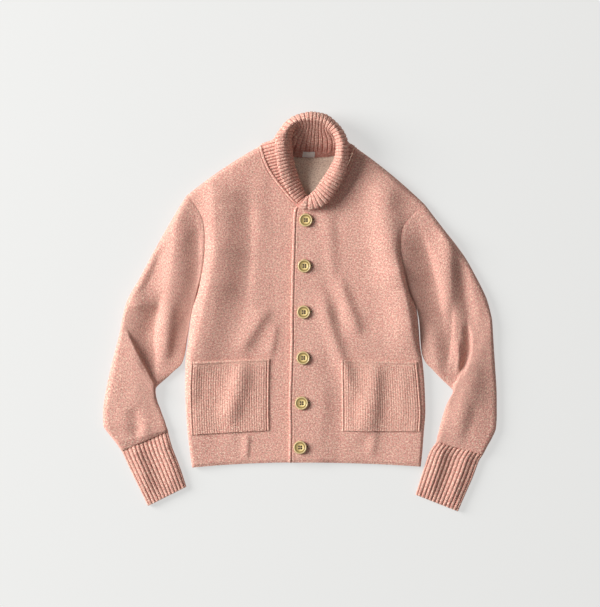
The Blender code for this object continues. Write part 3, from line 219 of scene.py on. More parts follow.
# One row per section of the collar, from the wearer's right tip round the neck to the left tip: its
# place along the neck seam, the bulge and height of its stand, the inner and outer edge of its roll,
# the heights of the inner edge, the top and the free edge.
COLLAR_COLUMNS = (
    "seam", "bulge", "z_stand", "in_x", "in_y", "out_x", "out_y", "z_in", "z_top", "z_edge"
)
COLLAR_ROWS = (
    (0.062, 0, 7.6, 16.5, 228.5, 2, 213, 9.6, 14.5, 12),
    (0.090, 0, 7.8, 11, 236, -8, 221, 11, 17, 14),
    (0.125, 0, 8.5, 4, 251, -20, 235, 13, 21, 16.5),
    (0.165, 0, 11, -3, 268, -32, 254, 17, 27, 20),
    (0.205, 0, 15, -8.5, 286, -40, 274, 22, 34, 26),
    (0.245, 0, 20, -13, 306, -45, 298, 28, 42, 32),
    (0.285, 0, 25, -16, 328, -49, 323, 35, 50, 38),
    (0.322, 3, 26, -16.5, 346, -49, 346, 40, 56, 41),
    (0.350, 10, 25, -14, 358, -42, 361, 42, 58, 34),
    (0.385, 9, 23, -7, 367, -27, 380, 43.5, 58.5, 18),
    (0.430, 2, 20, 5, 370.5, -5, 393, 44, 58, 5),
    (0.490, 0, 19, 22, 371, 22, 398.5, 44, 57.5, 4),
    (0.545, 2, 20, 42, 369.5, 47, 395, 44, 58, 5),
    (0.595, 8, 23, 57, 363, 70, 380, 43.5, 58.5, 18),
    (0.640, 9, 26, 67.5, 350, 87, 359, 42, 58, 32),
    (0.685, 3, 27, 72, 332, 95.5, 336, 40, 56, 37),
    (0.735, 0, 26, 69.5, 310, 96, 308, 37, 52, 33),
    (0.785, 0, 25, 62, 293, 93, 285, 34, 48, 29),
    (0.835, 0, 24, 52, 276, 84, 262, 32, 44, 26),
    (0.880, 0, 23, 41, 259, 71, 240, 30, 40, 23),
    (0.920, 0, 22, 31, 245, 57, 220, 28, 36, 20.5),
    (0.955, 0, 20.5, 23, 236.5, 36, 206.5, 26, 33, 19),
    (0.985, 0, 19.5, 17, 231, 15, 203.5, 24, 30, 18),
    (1.000, 0, 19, 12, 230, -5, 207.5, 23, 29, 17.5),
)
LABEL_X = (5.0, 29.0)
LABEL_DEPTH = 11.6
LABEL_THICK = 0.9
LABEL_START = 1.5  # from the neck seam to the label's lower edge
LABEL_LIFT = 1.4  # from the collar's face between its ribs to the label's underside

# Buttons, from the top: centre.
BUTTONS = ((11.8, 182.8), (8.8, 91.0), (7.4, -1.2), (6.4, -93.0), (3.4, -183.4), (0.4, -272.0))

# Folds that show besides the largest ones, in the same form.
BODY_CREASES = (
    (130, -164, 126, -210, 120, -266, 20, 14, 3.0),
    (-108, 262, -88, 110, -124, -44, 12, 28, -3.5),
    (-164, 160, -168, 88, -184, 10, 50, 22, 5.0),
    (176, 170, 186, 104, 204, 36, 24, 38, 5.0),
    (-49, -16, -51, -60, -64, -100, 8, 13, 3.0),
    (-73, 300, -75, 222, -84, 150, 12, 16, 1.4),
    (-217, -90, -222, -140, -222, -196, 17, 8, 4.0),
    (-105, -240, -104, -268, -107, -300, 4, 9, 2.6),
    (150, -232, 150, -262, 138, -298, 8, 10, 2.4),
    (50, 226, 58, 142, 72, 36, 18, 14, 3.8),
    (49, -146, 50, -190, 52, -236, 12, 12, 1.2),
    (-140, -170, -146, -230, -140, -300, 20, 20, 1.0),
    (100, -180, 110, -230, 100, -290, 16, 16, 1.0),
    (-30, 180, -34, 60, -30, -80, 14, 14, 0.6),
    (205, -110, 208, -170, 202, -240, 12, 14, 1.0),
)
SLEEVE_CREASES = (
    (226, 184, 284, 62, 284, -76, 11, 38, -7.8),
    (-216, 215, -183, 75, -246, -85, 9, 24, -5.0),
    (-279, 136, -284, 76, -324, 22, 14, 9, -3.2),
    (-243, -18, -250, -60, -259, -104, 10, 9, -2.6),
    (-356, -92, -366, -140, -372, -190, 14, 12, 1.0),
    (-300, -225, -312, -242, -330, -252, 9, 9, 1.8),
    (264, -6, 268, -64, 286, -138, 24, 14, 4.5),
    (315, -50, 319, -90, 315, -134, 6, 7, 4.0),
    (330, -14, 353, -78, 314, -144, 4, 10, -9.5),
    (302, 24, 306, -50, 290, -132, 6, 24, -4.5),
    (354, -170, 346, -220, 324, -282, 13, 12, -2.4),
    (330, 60, 352, 30, 366, -14, 12, 12, 1.6),
)
CUFF_FOLDS = (
    (-281, -236, -262, -300, -240, -362, 14, 17, 5.0),
    (-336, -262, -322, -300, -296, -374, 14, 13, 5.0),
    (293, -248, 274, -310, 254, -380, 13, 15, 5.0),
    (345, -256, 322, -320, 296, -396, 13, 13, 5.0),
)
RUMPLES = ((34.0, 0.45), (13.0, 0.22), (5.5, 0.12))  # size and height of the cloth's unevenness

# Fine sampling
GRID = 2.6  # space between rows of points along a panel
FRONT_MIDDLE = 72
SLEEVE_OVER = 62
SLEEVE_UNDER = 26
BACK_FINE = (110, 60)
RIB_STEPS = 10  # points across one rib of the collar and cuffs
POCKET_RIB_STEPS = 8
COLLAR_FINE = 52
FOLD_STEPS = 12
TURN_SHARE = 1 - np.cos(np.radians(np.linspace(0, 90, 9)))  # places across a turned edge
RIM = np.radians((35, 90, 145))  # where the rounded rim of a cloth has its points

# Tables


def column(rows, columns, name):
    return np.array([row[columns.index(name)] for row in rows], float)


def hermite(f, start, leave, end, arrive):
    """Smooth change from start to end, with the rises it leaves one and arrives at the other with."""
    return (
        start * (1 + 2 * f) * (1 - f) ** 2
        + leave * f * (1 - f) ** 2
        + end * f**2 * (3 - 2 * f)
        - arrive * f**2 * (1 - f)
    )


def ease(values, at):
    """Values between a table's rows, smooth and never past them."""
    rise = np.diff(values)
    slope = np.zeros_like(values)
    same = rise[:-1] * rise[1:] > 0
    total = np.where(same, rise[:-1] + rise[1:], 1.0)
    slope[1:-1] = np.where(same, 2 * rise[:-1] * rise[1:] / total, 0.0)
    slope[0], slope[-1] = rise[0], rise[-1]
    i = np.clip(np.floor(at).astype(int), 0, len(values) - 2)
    return hermite(at - i, values[i], slope[i], values[i + 1], slope[i + 1])


def reader(rows, columns, at):
    """Looks up a table's named columns at places between its rows."""
    return lambda name: ease(column(rows, columns, name), at)


def spot(get, edge):
    """Plan of an edge that a table gives by x and y."""
    return np.stack([get(edge + "_x"), get(edge + "_y")], axis=-1)


# Forms


def step(x):
    x = np.clip(x, 0, 1)
    return x * x * (3 - 2 * x)


def bell(x):
    return np.exp(-(x**2))


def arch(x):
    """Half a wave from 0 to 1, and nothing beyond."""
    return np.clip(np.sin(np.pi * np.clip(x, 0, 1)), 0, 1)


def unit(v):
    return v / np.maximum(np.linalg.norm(v, axis=-1, keepdims=True), 1e-9)


def with_height(plan, z):
    return np.concatenate([plan, z[..., None]], axis=-1)


def lengths(grid, axis):
    """How far along the cloth each point of a grid or line lies, by one axis."""
    gaps = np.linalg.norm(np.diff(grid, axis=axis), axis=-1)
    zero = np.zeros_like(np.take(gaps, [0], axis=axis))
    return np.cumsum(np.concatenate([zero, gaps], axis=axis), axis=axis)


FOLD_FADE = 0.3  # share of a fold's line over which it rises at each end


def folds(x, y, rows):
    """Height that a table of folds adds at each place."""
    total = np.zeros(np.shape(x))
    s = np.linspace(0, 1, FOLD_STEPS + 1)
    for x0, y0, x1, y1, x2, y2, left, right, rise in rows:
        path_x = (1 - s) ** 2 * x0 + 2 * s * (1 - s) * x1 + s * s * x2
        path_y = (1 - s) ** 2 * y0 + 2 * s * (1 - s) * y1 + s * s * y2
        best = np.full(np.shape(x), np.inf)
        along, side = np.zeros(np.shape(x)), np.ones(np.shape(x))
        for k in range(FOLD_STEPS):
            dx, dy = path_x[k + 1] - path_x[k], path_y[k + 1] - path_y[k]
            f = np.clip(((x - path_x[k]) * dx + (y - path_y[k]) * dy) / (dx * dx + dy * dy), 0, 1)
            gap = np.hypot(x - path_x[k] - f * dx, y - path_y[k] - f * dy)
            near = gap < best
            best = np.where(near, gap, best)
            along = np.where(near, (k + f) / FOLD_STEPS, along)
            side = np.where(near, dx * (y - path_y[k]) - dy * (x - path_x[k]), side)
        width = np.where(side > 0, left, right)
        total += rise * bell(best / width) * step(along / FOLD_FADE) * step((1 - along) / FOLD_FADE)
    return total


SEWN_FLAT = 0.4  # how far short of its full drop an edge is when it dips and doesn't turn down
FLAT_DIP = 0.6


def settle(height, rest, edges):
    """Height of cloth that turns down at its edges; where an edge drops little, it only dips."""
    keep = 1.0
    for distance, turn, drop in edges:
        near = np.clip(1 - distance / turn, 0, 1)
        flat = np.clip((1 - drop) / SEWN_FLAT, 0, 1)
        keep = keep * (1 - drop * ((1 - flat) * (1 - np.sqrt(1 - near**2)) + flat * FLAT_DIP * near**2))
    return rest + (height - rest) * keep


def rumple(x, y, size, seed):
    """Soft unevenness between -1 and 1, with bumps about a size apart."""
    ix, iy = np.floor(x / size), np.floor(y / size)
    fx, fy = step(x / size - ix), step(y / size - iy)

    def corner(a, b):
        value = np.sin((ix + a) * 127.1 + (iy + b) * 311.7 + seed * 74.7) * 43758.5453
        return 2 * (value - np.floor(value)) - 1

    low = corner(0, 0) + fx * (corner(1, 0) - corner(0, 0))
    high = corner(0, 1) + fx * (corner(1, 1) - corner(0, 1))
    return low + fy * (high - low)


def rumpled(x, y, seed):
    return sum(rise * rumple(x, y, size, seed + k) for k, (size, rise) in enumerate(RUMPLES))


def ridge(t):
    """Rounded rib with a narrow groove at each whole number."""
    return np.abs(np.sin(np.pi * t)) ** 0.75


def twin(t):
    """Rib of two stitches side by side, with a fine line between them."""
    return ridge(t) - 0.38 * bell((t % 1 - 0.5) / 0.085)


# Grids and shells


def even_places(line_at, low, high, first=(0.0,), last=(0.0,)):
    """Places between two rows, evenly spaced by length, with given distances from both ends."""
    fine = np.linspace(low, high, 1500)
    length = lengths(line_at(fine), 0)
    first, last = np.array(first, float), length[-1] - np.array(last, float)
    count = int((last.min() - first.max()) / GRID) + 1
    middle = np.linspace(first.max(), last.min(), count + 1)[1:-1]
    return np.interp(np.sort(np.concatenate([first, middle, last])), length, fine)


def grid_normals(grid, ring=False):
    """Unit normals of a grid of points: upward, or outward round a tube."""
    along = np.gradient(grid, axis=0)
    if ring:
        across = np.roll(grid, -1, axis=1) - np.roll(grid, 1, axis=1)
        way = grid - grid.mean(axis=1, keepdims=True)
    else:
        across = np.gradient(grid, axis=1)
        way = np.array([0.0, 0.0, 1.0])
    normal = unit(np.cross(across, along))
    return normal * np.sign(np.sum(normal * way))


def grid_quads(ids, ring):
    right = np.roll(ids, -1, axis=1)
    quads = np.stack([ids[:-1], right[:-1], right[1:], ids[1:]], axis=-1)
    return (quads if ring else quads[:, :-1]).reshape(-1, 4)


def rim_loops(ids, ring):
    """Point numbers along a grid's open edges: one loop round it, or one at each end of a tube."""
    if ring:
        return [ids[0], ids[-1][::-1]]
    return [np.concatenate([ids[0], ids[1:, -1], ids[-1, -2::-1], ids[-2:0:-1, 0]])]


def shell(name, outer, inner, weave, relief=1.0, under=None, shade=0.0, reverse=1.0, ring=False, bulge=0.7):
    """A closed wall of cloth between two like grids, its edges rounded.

    Its points keep their place on the cloth (weave), how high they stand in its ribs (relief), which sets
    the painted shade in its grooves and the painted highlight on its crests, how much painted shade
    darkens them (shade), and whether they are on its reverse (inside).
    """
    rows, columns = outer.shape[:2]
    count = rows * columns
    ids = np.arange(count).reshape(rows, columns)
    spread = lambda values: np.broadcast_to(values, (rows, columns)).ravel()
    flat = {"weave": weave.reshape(-1, 2), "relief": spread(relief), "shade": spread(shade)}
    fields = {key: [value, value] for key, value in flat.items()}
    if under is not None:
        fields["relief"][1] = spread(under)
    fields["inside"] = [np.zeros(count), np.full(count, reverse)]
    points = [outer.reshape(-1, 3), inner.reshape(-1, 3)]
    faces = [grid_quads(ids, ring), grid_quads(ids + count, ring)[:, ::-1]]
    far = np.zeros((rows, columns, 3))
    far[0] += unit(outer[0] - outer[1])
    far[-1] += unit(outer[-1] - outer[-2])
    if not ring:
        far[:, 0] += unit(outer[:, 0] - outer[:, 1])
        far[:, -1] += unit(outer[:, -1] - outer[:, -2])
    start = 2 * count
    for loop in rim_loops(ids, ring):
        top, low, out = (a.reshape(-1, 3)[loop] for a in (outer, inner, unit(far)))
        chains = [loop]
        for turn in RIM:
            points.append((top + low) / 2 + np.cos(turn) * (top - low) / 2 + np.sin(turn) * bulge * out)
            for key, value in flat.items():
                fields[key].append(value[loop])
            fields["inside"].append(np.full(len(loop), reverse * turn / np.pi))
            chains.append(np.arange(start, start + len(loop)))
            start += len(loop)
        chains.append(loop + count)
        for one, two in zip(chains, chains[1:]):
            faces.append(np.stack([one, two, np.roll(two, -1), np.roll(one, -1)], axis=-1))
    return add_cloth(name, np.concatenate(points) * MM, np.concatenate(faces), fields)


def linked(name, data):
    """An object of some data, in the scene."""
    obj = bpy.data.objects.new(name, data)
    bpy.context.scene.collection.objects.link(obj)
    return obj


def add_cloth(name, points, faces, fields):
    """An object of a closed mesh, its faces turned outward, with values kept at its points."""
    a, b, c, d = (points[faces[:, k]] for k in range(4))
    if np.sum(np.cross(b - a, c - a) * a) + np.sum(np.cross(c - a, d - a) * a) < 0:
        faces = faces[:, ::-1]
    mesh = bpy.data.meshes.new(name)
    mesh.from_pydata(points.tolist(), [], faces.tolist())
    for key, values in fields.items():
        values = np.concatenate(values)
        if key == "weave":
            values = np.concatenate([values * MM, 0 * values[:, :1]], axis=1)
            mesh.attributes.new(key, "FLOAT_VECTOR", "POINT").data.foreach_set("vector", values.ravel())
        else:
            mesh.attributes.new(key, "FLOAT", "POINT").data.foreach_set("value", values)
    mesh.shade_smooth()
    return linked(name, mesh)


# Fronts

FRONT_BESIDE = 0.3  # share of a front's width over which its side's height passes into its middle's
FRONT_EDGE = (0.42, 0.33)  # where the front edge's height begins, and the share over which it comes
ROLL_WIDTH = 5.6  # of the rolled front edge
ROLL_RISE = 1.36
FINISH_LINES = ((6.3, 0.8, -0.4), (8.8, 1.3, 0.45))  # distance from the edge, half width and height
FINISH_START = NECK_START + 0.9  # the lower front has its finish only along the neck
HEM_STEPS = (0, 0.8, 1.8, 3, 4.5, 6)  # distances from the hem at which a front has points
EDGE_STEPS = (0, 0.6, 1.2, 2, 3, 4, 4.8, 5.4, 5.8, 6.2, 6.8, 7.6, 8.6, 10, 12)  # and from its edge
WOBBLE = (0.35, 26.0, 14.0)  # height, size and reach of the front edge's unevenness
POCKET_INSET = 1.35  # space between the pocket's range and the front edge, in finish widths
DENT = (0.9, 2.6, 2.2)  # along a pocket's open top: its depth, its middle above the top, its half width
DENT_FADE = 8.0


def front_plan(rows, level, across):
    """Plan of a front: across 0 is the side edge and 1 the front edge."""
    get = reader(rows, FRONT_COLUMNS, level)
    x = get("side_x") + across * (get("front_x") - get("side_x"))
    y = get("side_y") + across * (get("front_y") - get("side_y"))
    return np.stack([x, y + get("bow") * 4 * across * (1 - across)], axis=-1)


def front_width(rows, level):
    ends = front_plan(rows, level, 0 * level + 1) - front_plan(rows, level, 0 * level)
    return np.linalg.norm(ends, axis=-1)


def pocket_span(rows, level):
    """Where a pocket's two sides lie across a front at some levels, and the front's width."""
    width = front_width(rows, level)
    start = reader(rows, FRONT_COLUMNS, level)("turn") / width
    end = 1 - POCKET_INSET * WELT / width
    share = POCKET_FRONT[0 if rows is RIGHT_FRONT else 1]
    return start, start + (end - start) * share, width


def front_face(rows, level, across):
    """Points on a front's outer face, under its raised finish."""
    level, across = np.broadcast_arrays(np.asarray(level, float), np.asarray(across, float))
    get = reader(rows, FRONT_COLUMNS, level)
    plan = front_plan(rows, level, across)
    x, y = plan[..., 0], plan[..., 1]
    z = get("z_mid") + (get("z_side") - get("z_mid")) * (1 - step(across / FRONT_BESIDE))
    z = z + (get("z_front") - get("z_mid")) * step((across - FRONT_EDGE[0]) / FRONT_EDGE[1])
    z = z + folds(x, y, BODY_FOLDS + BODY_CREASES) + rumpled(x, y, 1)
    if rows is LEFT_FRONT:
        z = z + LAP * (1 - step((x - LAP_END) / LAP_FADE))
    start, end, width = pocket_span(rows, level)
    over = y - front_plan(rows, 0 * level + POCKET_ROWS[1], across)[..., 1]
    beside = step((across - start) * width / DENT_FADE) * step((end - across) * width / DENT_FADE)
    z = z - DENT[0] * beside * bell((over - DENT[1]) / DENT[2])
    below = np.linalg.norm(plan - front_plan(rows, 0 * level, across), axis=-1)
    z = z - HEM_DROP * (1 - step(below / HEM_ROUND))
    above = np.linalg.norm(front_plan(rows, 0 * level + SHOULDER, across) - plan, axis=-1)
    edges = ((across * width, get("turn"), get("drop")), (above, SHOULDER_TURN, 1.0))
    return with_height(plan, settle(z, REST_EDGE, edges))


def front_finish(inward):
    """Height of the rolled edge and the sewn lines beside it, by the distance from the edge."""
    roll = ROLL_RISE * arch(inward / ROLL_WIDTH) ** 0.8
    return roll + sum(rise * bell((inward - at) / half) for at, half, rise in FINISH_LINES)


def front_cloth(name, rows):
    right = rows is RIGHT_FRONT
    middle = lambda v: front_plan(rows, v, 0 * v + 0.5)
    level = even_places(middle, 0, SHOULDER, HEM_STEPS, SHOULDER_TURN * TURN_SHARE)[:, None]
    width = front_width(rows, level)
    first = reader(rows, FRONT_COLUMNS, level)("turn") * TURN_SHARE / width
    last = 1 - np.array(EDGE_STEPS[::-1]) / width
    across = first[:, -1:] + (last[:, :1] - first[:, -1:]) * np.linspace(0, 1, FRONT_MIDDLE)
    across = np.concatenate([first[:, :-1], across, last[:, 1:]], axis=1)
    face = front_face(rows, level, across)
    inward = (1 - across) * width
    rise, size, reach = WOBBLE
    wobble = rise * rumple(face[..., 1], 0 * face[..., 1], size, 3 + right)
    face[..., 0] += wobble * np.clip(1 - inward / reach, 0, 1)
    normal = grid_normals(face)
    finished = step((level - FINISH_START) / 0.4) if right else 1.0
    outer = face + (finished * front_finish(inward))[..., None] * normal
    return shell(name, outer, face - WALL * normal, face[..., :2])


# Pockets

POCKET_LOW = (0, 0.7, 1.4)  # distances from a pocket's lower edge at which it has points
POCKET_HIGH = (0, 0.7, 1.4, 2.1, 2.8, 3.5, 4.2, 5)  # and from its top
POCKET_HEM = 5.0  # width of the roll along a pocket's top
POCKET_RIB_SOFT = 0.55  # height of the ribs
POCKET_WELT_SOFT = 1.1  # height of the finish
POCKET_LINE = (0.6, 0.7, -0.7)  # the groove inside the finish: how far in, half width and height
POCKET_FLUSH = 14.0  # width over which a pocket thins toward its sides
POCKET_THIN = 0.45  # share of its thickness that is left there
POCKET_GROOVE_SHADE = 0.42  # how much darker the painted shade makes the grooves
POCKET_RIB_FADE = (1.5, 7.0, 3.0)  # widths over which ribs begin: inside the finish; from and along the top


def pocket_cloth(name, rows):
    """A ribbed patch with a raised finish round three sides, that follows the front below it."""
    middle = lambda v: front_plan(rows, v, 0 * v + 0.35)
    level = even_places(middle, *POCKET_ROWS, POCKET_LOW, POCKET_HIGH)[:, None]
    start, end, width = pocket_span(rows, level)
    share = np.linspace(0, 1, POCKET_RIBS * POCKET_RIB_STEPS + 1)
    face = front_face(rows, level, start + (end - start) * share)
    normal = grid_normals(face)
    down = lengths(face[:, :, :2], 0)
    down = down[-1:] - down
    beside = np.minimum(share, 1 - share) * ((end - start) * width)
    crown = ridge(share * POCKET_RIBS)
    inside, top, below = POCKET_RIB_FADE
    ribbed = step((beside - POCKET_WELT) / inside) * step((down - top) / below)
    finish = POCKET_WELT_SOFT * np.maximum(arch(down / POCKET_HEM), arch(beside / POCKET_WELT))
    inset, half, sunk = POCKET_LINE
    rise = POCKET_RIB_SOFT * crown * ribbed + finish + sunk * bell((beside - POCKET_WELT - inset) / half)
    thick = POCKET_WALL * (POCKET_THIN + (1 - POCKET_THIN) * step(beside / POCKET_FLUSH))
    outer = face + (SEAM + thick + rise)[..., None] * normal
    # relief falls in the grooves, where it paints shade
    relief = 1 - ribbed * (1 - crown) * POCKET_GROOVE_SHADE
    return shell(name, outer, face + SEAM * normal, face[..., :2], relief=relief)


# Back

BACK_BOW = 10.0  # rise of the hem's middle over its corners
BACK_TURN = 10.0  # depth of the back's turned edges
BACK_BOW_FADE = ((0, 1, 2, 3.5), (1, 2 / 3, 1 / 3, 0))  # rows, and how much of the bow they have
SIDE_OPENS = 0.4  # rows over which the turn ends at the underarm and begins again at the shoulder


def back_row(level):
    """One row of the back's points, on its outer and its inner face."""
    near = BACK_TURN * TURN_SHARE
    sewn, above = min(level, float(SHOULDER)), max(0.0, level - SHOULDER)
    left, right = front_plan(RIGHT_FRONT, sewn, above), front_plan(LEFT_FRONT, sewn, above)
    width = np.linalg.norm(right - left)
    share = near[-1] + (width - 2 * near[-1]) * np.linspace(0, 1, BACK_FINE[1])
    f = np.concatenate([near[:-1], share, width - near[-2::-1]]) / width
    plan = left + f[:, None] * (right - left)
    neck_x, neck_y = np.array(BACK_NECK, float).T
    line = np.interp(f, (0, 1), (neck_x[0], neck_x[-1]))
    dip = np.interp(line, neck_x, neck_y) - np.interp(f, (0, 1), (neck_y[0], neck_y[-1]))
    bow = np.interp(level, *BACK_BOW_FADE)
    plan[:, 1] += above**1.5 * dip + BACK_BOW * (4 * f * (1 - f)) ** 0.8 * bow
    at_sleeve = step((level - UNDERARM) / SIDE_OPENS) * step((SHOULDER - 0.2 - level) / SIDE_OPENS)
    turn = (1 - TURN_SHARE[:-1]) * (1 - at_sleeve)
    turn = np.concatenate([turn, np.zeros(BACK_FINE[1]), turn[::-1]])
    flat = np.sqrt(1 - turn**2)
    out = np.where(f < 0.5, -1.0, 1.0)[:, None] * unit(right - left) * turn[:, None]
    outer = with_height(plan, (REST_EDGE - SEAM) * (1 - flat))
    return outer, outer - WALL * with_height(out, -flat)


def back_cloth():
    """The back, flat where it rests, turned up at its sides and cut out at the neck."""
    rows = [back_row(level) for level in np.linspace(0, SHOULDER + 1, BACK_FINE[0])]
    outer, inner = (np.array(side) for side in zip(*rows))
    inner[..., 2] += 0.3 * rumpled(inner[..., 0], inner[..., 1], 9)
    return shell("back_cloth", outer, inner, outer[..., :2])


# Sleeves

LEAST = 6.5  # height that the folds leave a sleeve's upper side at the least
ARMHOLE_REACH = 2.4  # rings over which a sleeve's height leaves the front's at the armhole


def armhole(front, across):
    """Plan and level along an armhole: across 0 is the shoulder point and 1 the underarm."""
    levels = np.linspace(SHOULDER, UNDERARM, 201)
    length = lengths(front_plan(front, levels, 0 * levels), 0)
    level = np.interp(across, length / length[-1], levels)
    return front_plan(front, level, 0 * level), level


def sleeve_plan(rows, front, ring, across):
    """Plan of a sleeve: across 0 is the outer edge and 1 the inner edge."""
    get = reader(rows, SLEEVE_COLUMNS, ring)
    out, into = spot(get, "out"), spot(get, "in")
    hole, shoulder, under = (armhole(front, v)[0] for v in (across, 0 * across, 0 * across + 1))
    bulge = hole - shoulder - across[..., None] * (under - shoulder)
    return out + across[..., None] * (into - out) + get("curve")[..., None] * bulge


def sleeve_width(rows, front, ring):
    ends = sleeve_plan(rows, front, ring, 0 * ring + 1) - sleeve_plan(rows, front, ring, 0 * ring)
    return np.linalg.norm(ends, axis=-1)


def sleeve_face(rows, front, ring, across, top):
    """Points on a sleeve's outer face, over it or under it."""
    ring, across = np.broadcast_arrays(ring, across)
    get = reader(rows, SLEEVE_COLUMNS, ring)
    plan = sleeve_plan(rows, front, ring, across)
    width = sleeve_width(rows, front, ring)
    edges = [(share * width, get("turn"), 1.0) for share in (across, 1 - across)]
    rest = np.minimum(REST_EDGE, 0.5 * get("z_mid"))
    if not top:
        return with_height(plan, settle(0 * across, rest, edges))
    x, y = plan[..., 0], plan[..., 1]
    z = get("z_mid") + (get("z_out") - get("z_mid")) * (1 - step(across / 0.5))
    z = z + (get("z_in") - get("z_mid")) * step((across - 0.5) / 0.5)
    z = z + folds(x, y, SLEEVE_FOLDS + SLEEVE_CREASES) + rumpled(x, y, 5)
    z = LEAST + np.log1p(np.exp(z - LEAST))
    hole, level = armhole(front, across)
    drop = reader(front, FRONT_COLUMNS, level)("drop")
    edges.append((np.linalg.norm(plan - hole, axis=-1), ARMHOLE_TURN, drop))
    z = settle(z, rest, edges)
    sewn = np.clip(1 - ring / ARMHOLE_REACH, 0, 1)
    z = z + sewn * (front_face(front, level[:1], 0.0)[..., 2] - z[:1])
    return with_height(plan, z)


def sleeve_cloth(name, rows, front):
    middle = lambda v: sleeve_plan(rows, front, v, 0 * v + 0.5)
    ring = even_places(middle, 0, len(rows) - 1)[:, None]
    near = reader(rows, SLEEVE_COLUMNS, ring)("turn") * TURN_SHARE / sleeve_width(rows, front, ring)
    inside = 1 - 2 * near[:, -1:]
    over = near[:, -1:] + inside * np.linspace(0, 1, SLEEVE_OVER)
    over = np.concatenate([near[:, :-1], over, 1 - near[:, -2::-1]], axis=1)
    under = near[:, -1:] + inside * np.linspace(1, 0, SLEEVE_UNDER)
    under = np.concatenate([1 - near[:, 1:-1], under, near[:, -2:0:-1]], axis=1)
    high = sleeve_face(rows, front, ring, over, True)
    low = sleeve_face(rows, front, ring, under, False)
    outer = np.concatenate([high, low], axis=1)
    normal = grid_normals(outer, ring=True)
    below = normal[:, high.shape[1]:]
    below[..., 2] = -np.abs(below[..., 2])
    round_it, along = lengths(outer, 1), lengths(outer, 0).mean(axis=1, keepdims=True)
    weave = np.stack([round_it, along + 0 * round_it], axis=-1)
    return shell(name, outer, outer - WALL * normal, weave, ring=True)


# Cuffs

CUFF_GROOVE = 2.0  # depth of the grooves between the cuff's ribs
CUFF_GROOVE_REST = 1.1  # the same where it rests
CUFF_TUCK = 1.6  # how far a cuff reaches into its sleeve
CUFF_SINK = 1.2  # how far a cuff's upper side lies under its table's height
CUFF_RESTS = (0.53, 0.97, 0.03)  # part of the way round on which a cuff rests, and the fade at its ends
CUFF_REVERSE = 0.5  # depth of the grooves on its reverse
CUFF_UNEVEN = (0.35, 60.0, 12.0, 4.0)  # height, pace round it and along it, and size of its unevenness
CUFF_ENDS = ((0, 1), (0, 0.8, 2))  # distances from both ends at which a cuff has points
RIB_PITCH = 7.6


def oval(width, rise, share):
    """Points along and up a flat oval and its normals, at shares of the way round from one end."""
    r = rise / 2
    bend, flat = np.pi * r / 2, width - rise
    stops = np.cumsum([0, bend, flat, 2 * bend, flat, bend])
    s = share % 1.0 * stops[-1]
    middle = np.interp(s, stops, (r, r, width - r, width - r, r, r))
    turn = np.radians(np.interp(s, stops, (180, 90, 90, -90, -90, -180)))
    return middle + r * np.cos(turn), r + r * np.sin(turn), np.cos(turn), np.sin(turn)


def cuff_edges(rows, ring):
    get = reader(rows, CUFF_COLUMNS, ring)
    return spot(get, "out"), spot(get, "in"), get("rise")


def cuff_cloth(name, rows):
    """Ribs run along the cuff and flatten where it rests."""
    middle = lambda v: 0.5 * sum(cuff_edges(rows, v)[:2])
    rings = even_places(middle, 0, len(rows) - 1, *CUFF_ENDS)
    share = np.arange(CUFF_RIBS * RIB_STEPS) / (CUFF_RIBS * RIB_STEPS)
    crown = ridge(share * CUFF_RIBS)
    low, high, fade = CUFF_RESTS
    resting = step((share - low) / fade) * step((high - share) / fade)
    groove = (1 - crown) * (CUFF_GROOVE + (CUFF_GROOVE_REST - CUFF_GROOVE) * resting)
    high_most, pace, row_pace, size = CUFF_UNEVEN
    outer, inner = [], []
    for ring in rings:
        out, into, rise = cuff_edges(rows, ring)
        width = np.linalg.norm(into - out)
        way = (into - out) / width
        x, z, nx, nz = oval(width, rise, share)
        upper = step((nz + 0.1) / 0.6)  # 1 on the upper side and 0 on the lower one
        z = z + upper * (folds(out[0] + x * way[0], out[1] + x * way[1], CUFF_FOLDS) - CUFF_SINK)
        uneven = high_most * rumple(share * pace, 0 * share + ring * row_pace, size, 2) * (1 - resting)
        thick = RIB_WALL + RIB_RISE - CUFF_REVERSE * (1 - crown)
        for face, deep in ((outer, groove - uneven), (inner, thick)):
            face.append(with_height(out + (x - nx * deep)[:, None] * way, z - nz * deep))
    outer, inner = np.array(outer), np.array(inner)
    along = lengths(outer, 0).mean(axis=1, keepdims=True)
    tuck = CUFF_TUCK * unit(outer[0].mean(axis=0) - outer[2].mean(axis=0))
    outer[0] += tuck
    inner[0] += tuck
    weave = np.stack([share[None] * CUFF_RIBS * RIB_PITCH + 0 * along, along + 0 * share[None]], axis=-1)
    # relief rises with the ribs: painted shade in the grooves, painted highlight on the crests
    return shell(name, outer, inner, weave, relief=0.15 + 0.85 * crown, ring=True)


# Collar

COLLAR_GROOVE = 2.0
STAND_PAINTED_SHADE = 0.8  # painted shade: how much darker the inside of the stand is
NECK_CENTRE = (20.0, 290.0)
SEAM_INSET = 0.9  # space between the neck seam and the collar
SEAM_LEAN = 1.45  # how much of its thickness a leaning collar is moved in by
SEAM_LEAN_REACH = 0.16
ROLL_TUCK = 0.16  # how far the free edge turns back in, as a share of its drop
ROLL_OUT = 0.45  # how far down the roll is widest, as a share of its drop
COLLAR_EXTRA = (0.006, 0.988, 0.995)  # more places across the collar, at its edges
BACK_PART = (0.52, 0.17)  # the part at the back of the neck, with plain knit in its stand: middle, half
PLAIN_TOP = (11.0, 5.0)  # height of the plain knit up the stand, and of its change into ribs
PLAIN_BUMPS = (0.5, 1.5, 1.6)  # their height, number to a rib and pace up the stand
PLAIN_GROOVE = 0.12  # share of the grooves that is left in the plain knit
COLLAR_THIN = 1.3  # thickness in the grooves of the reverse
REVERSE_RISE = 2.3  # height of the reverse's ribs
COLLAR_WAVE = (0.4, 300.0, 9.0)  # height, length round the neck and size of its unevenness
INNER_FADE = (14.0, 22.0)  # height at which the painted shade of the stand begins to fade, and its fade
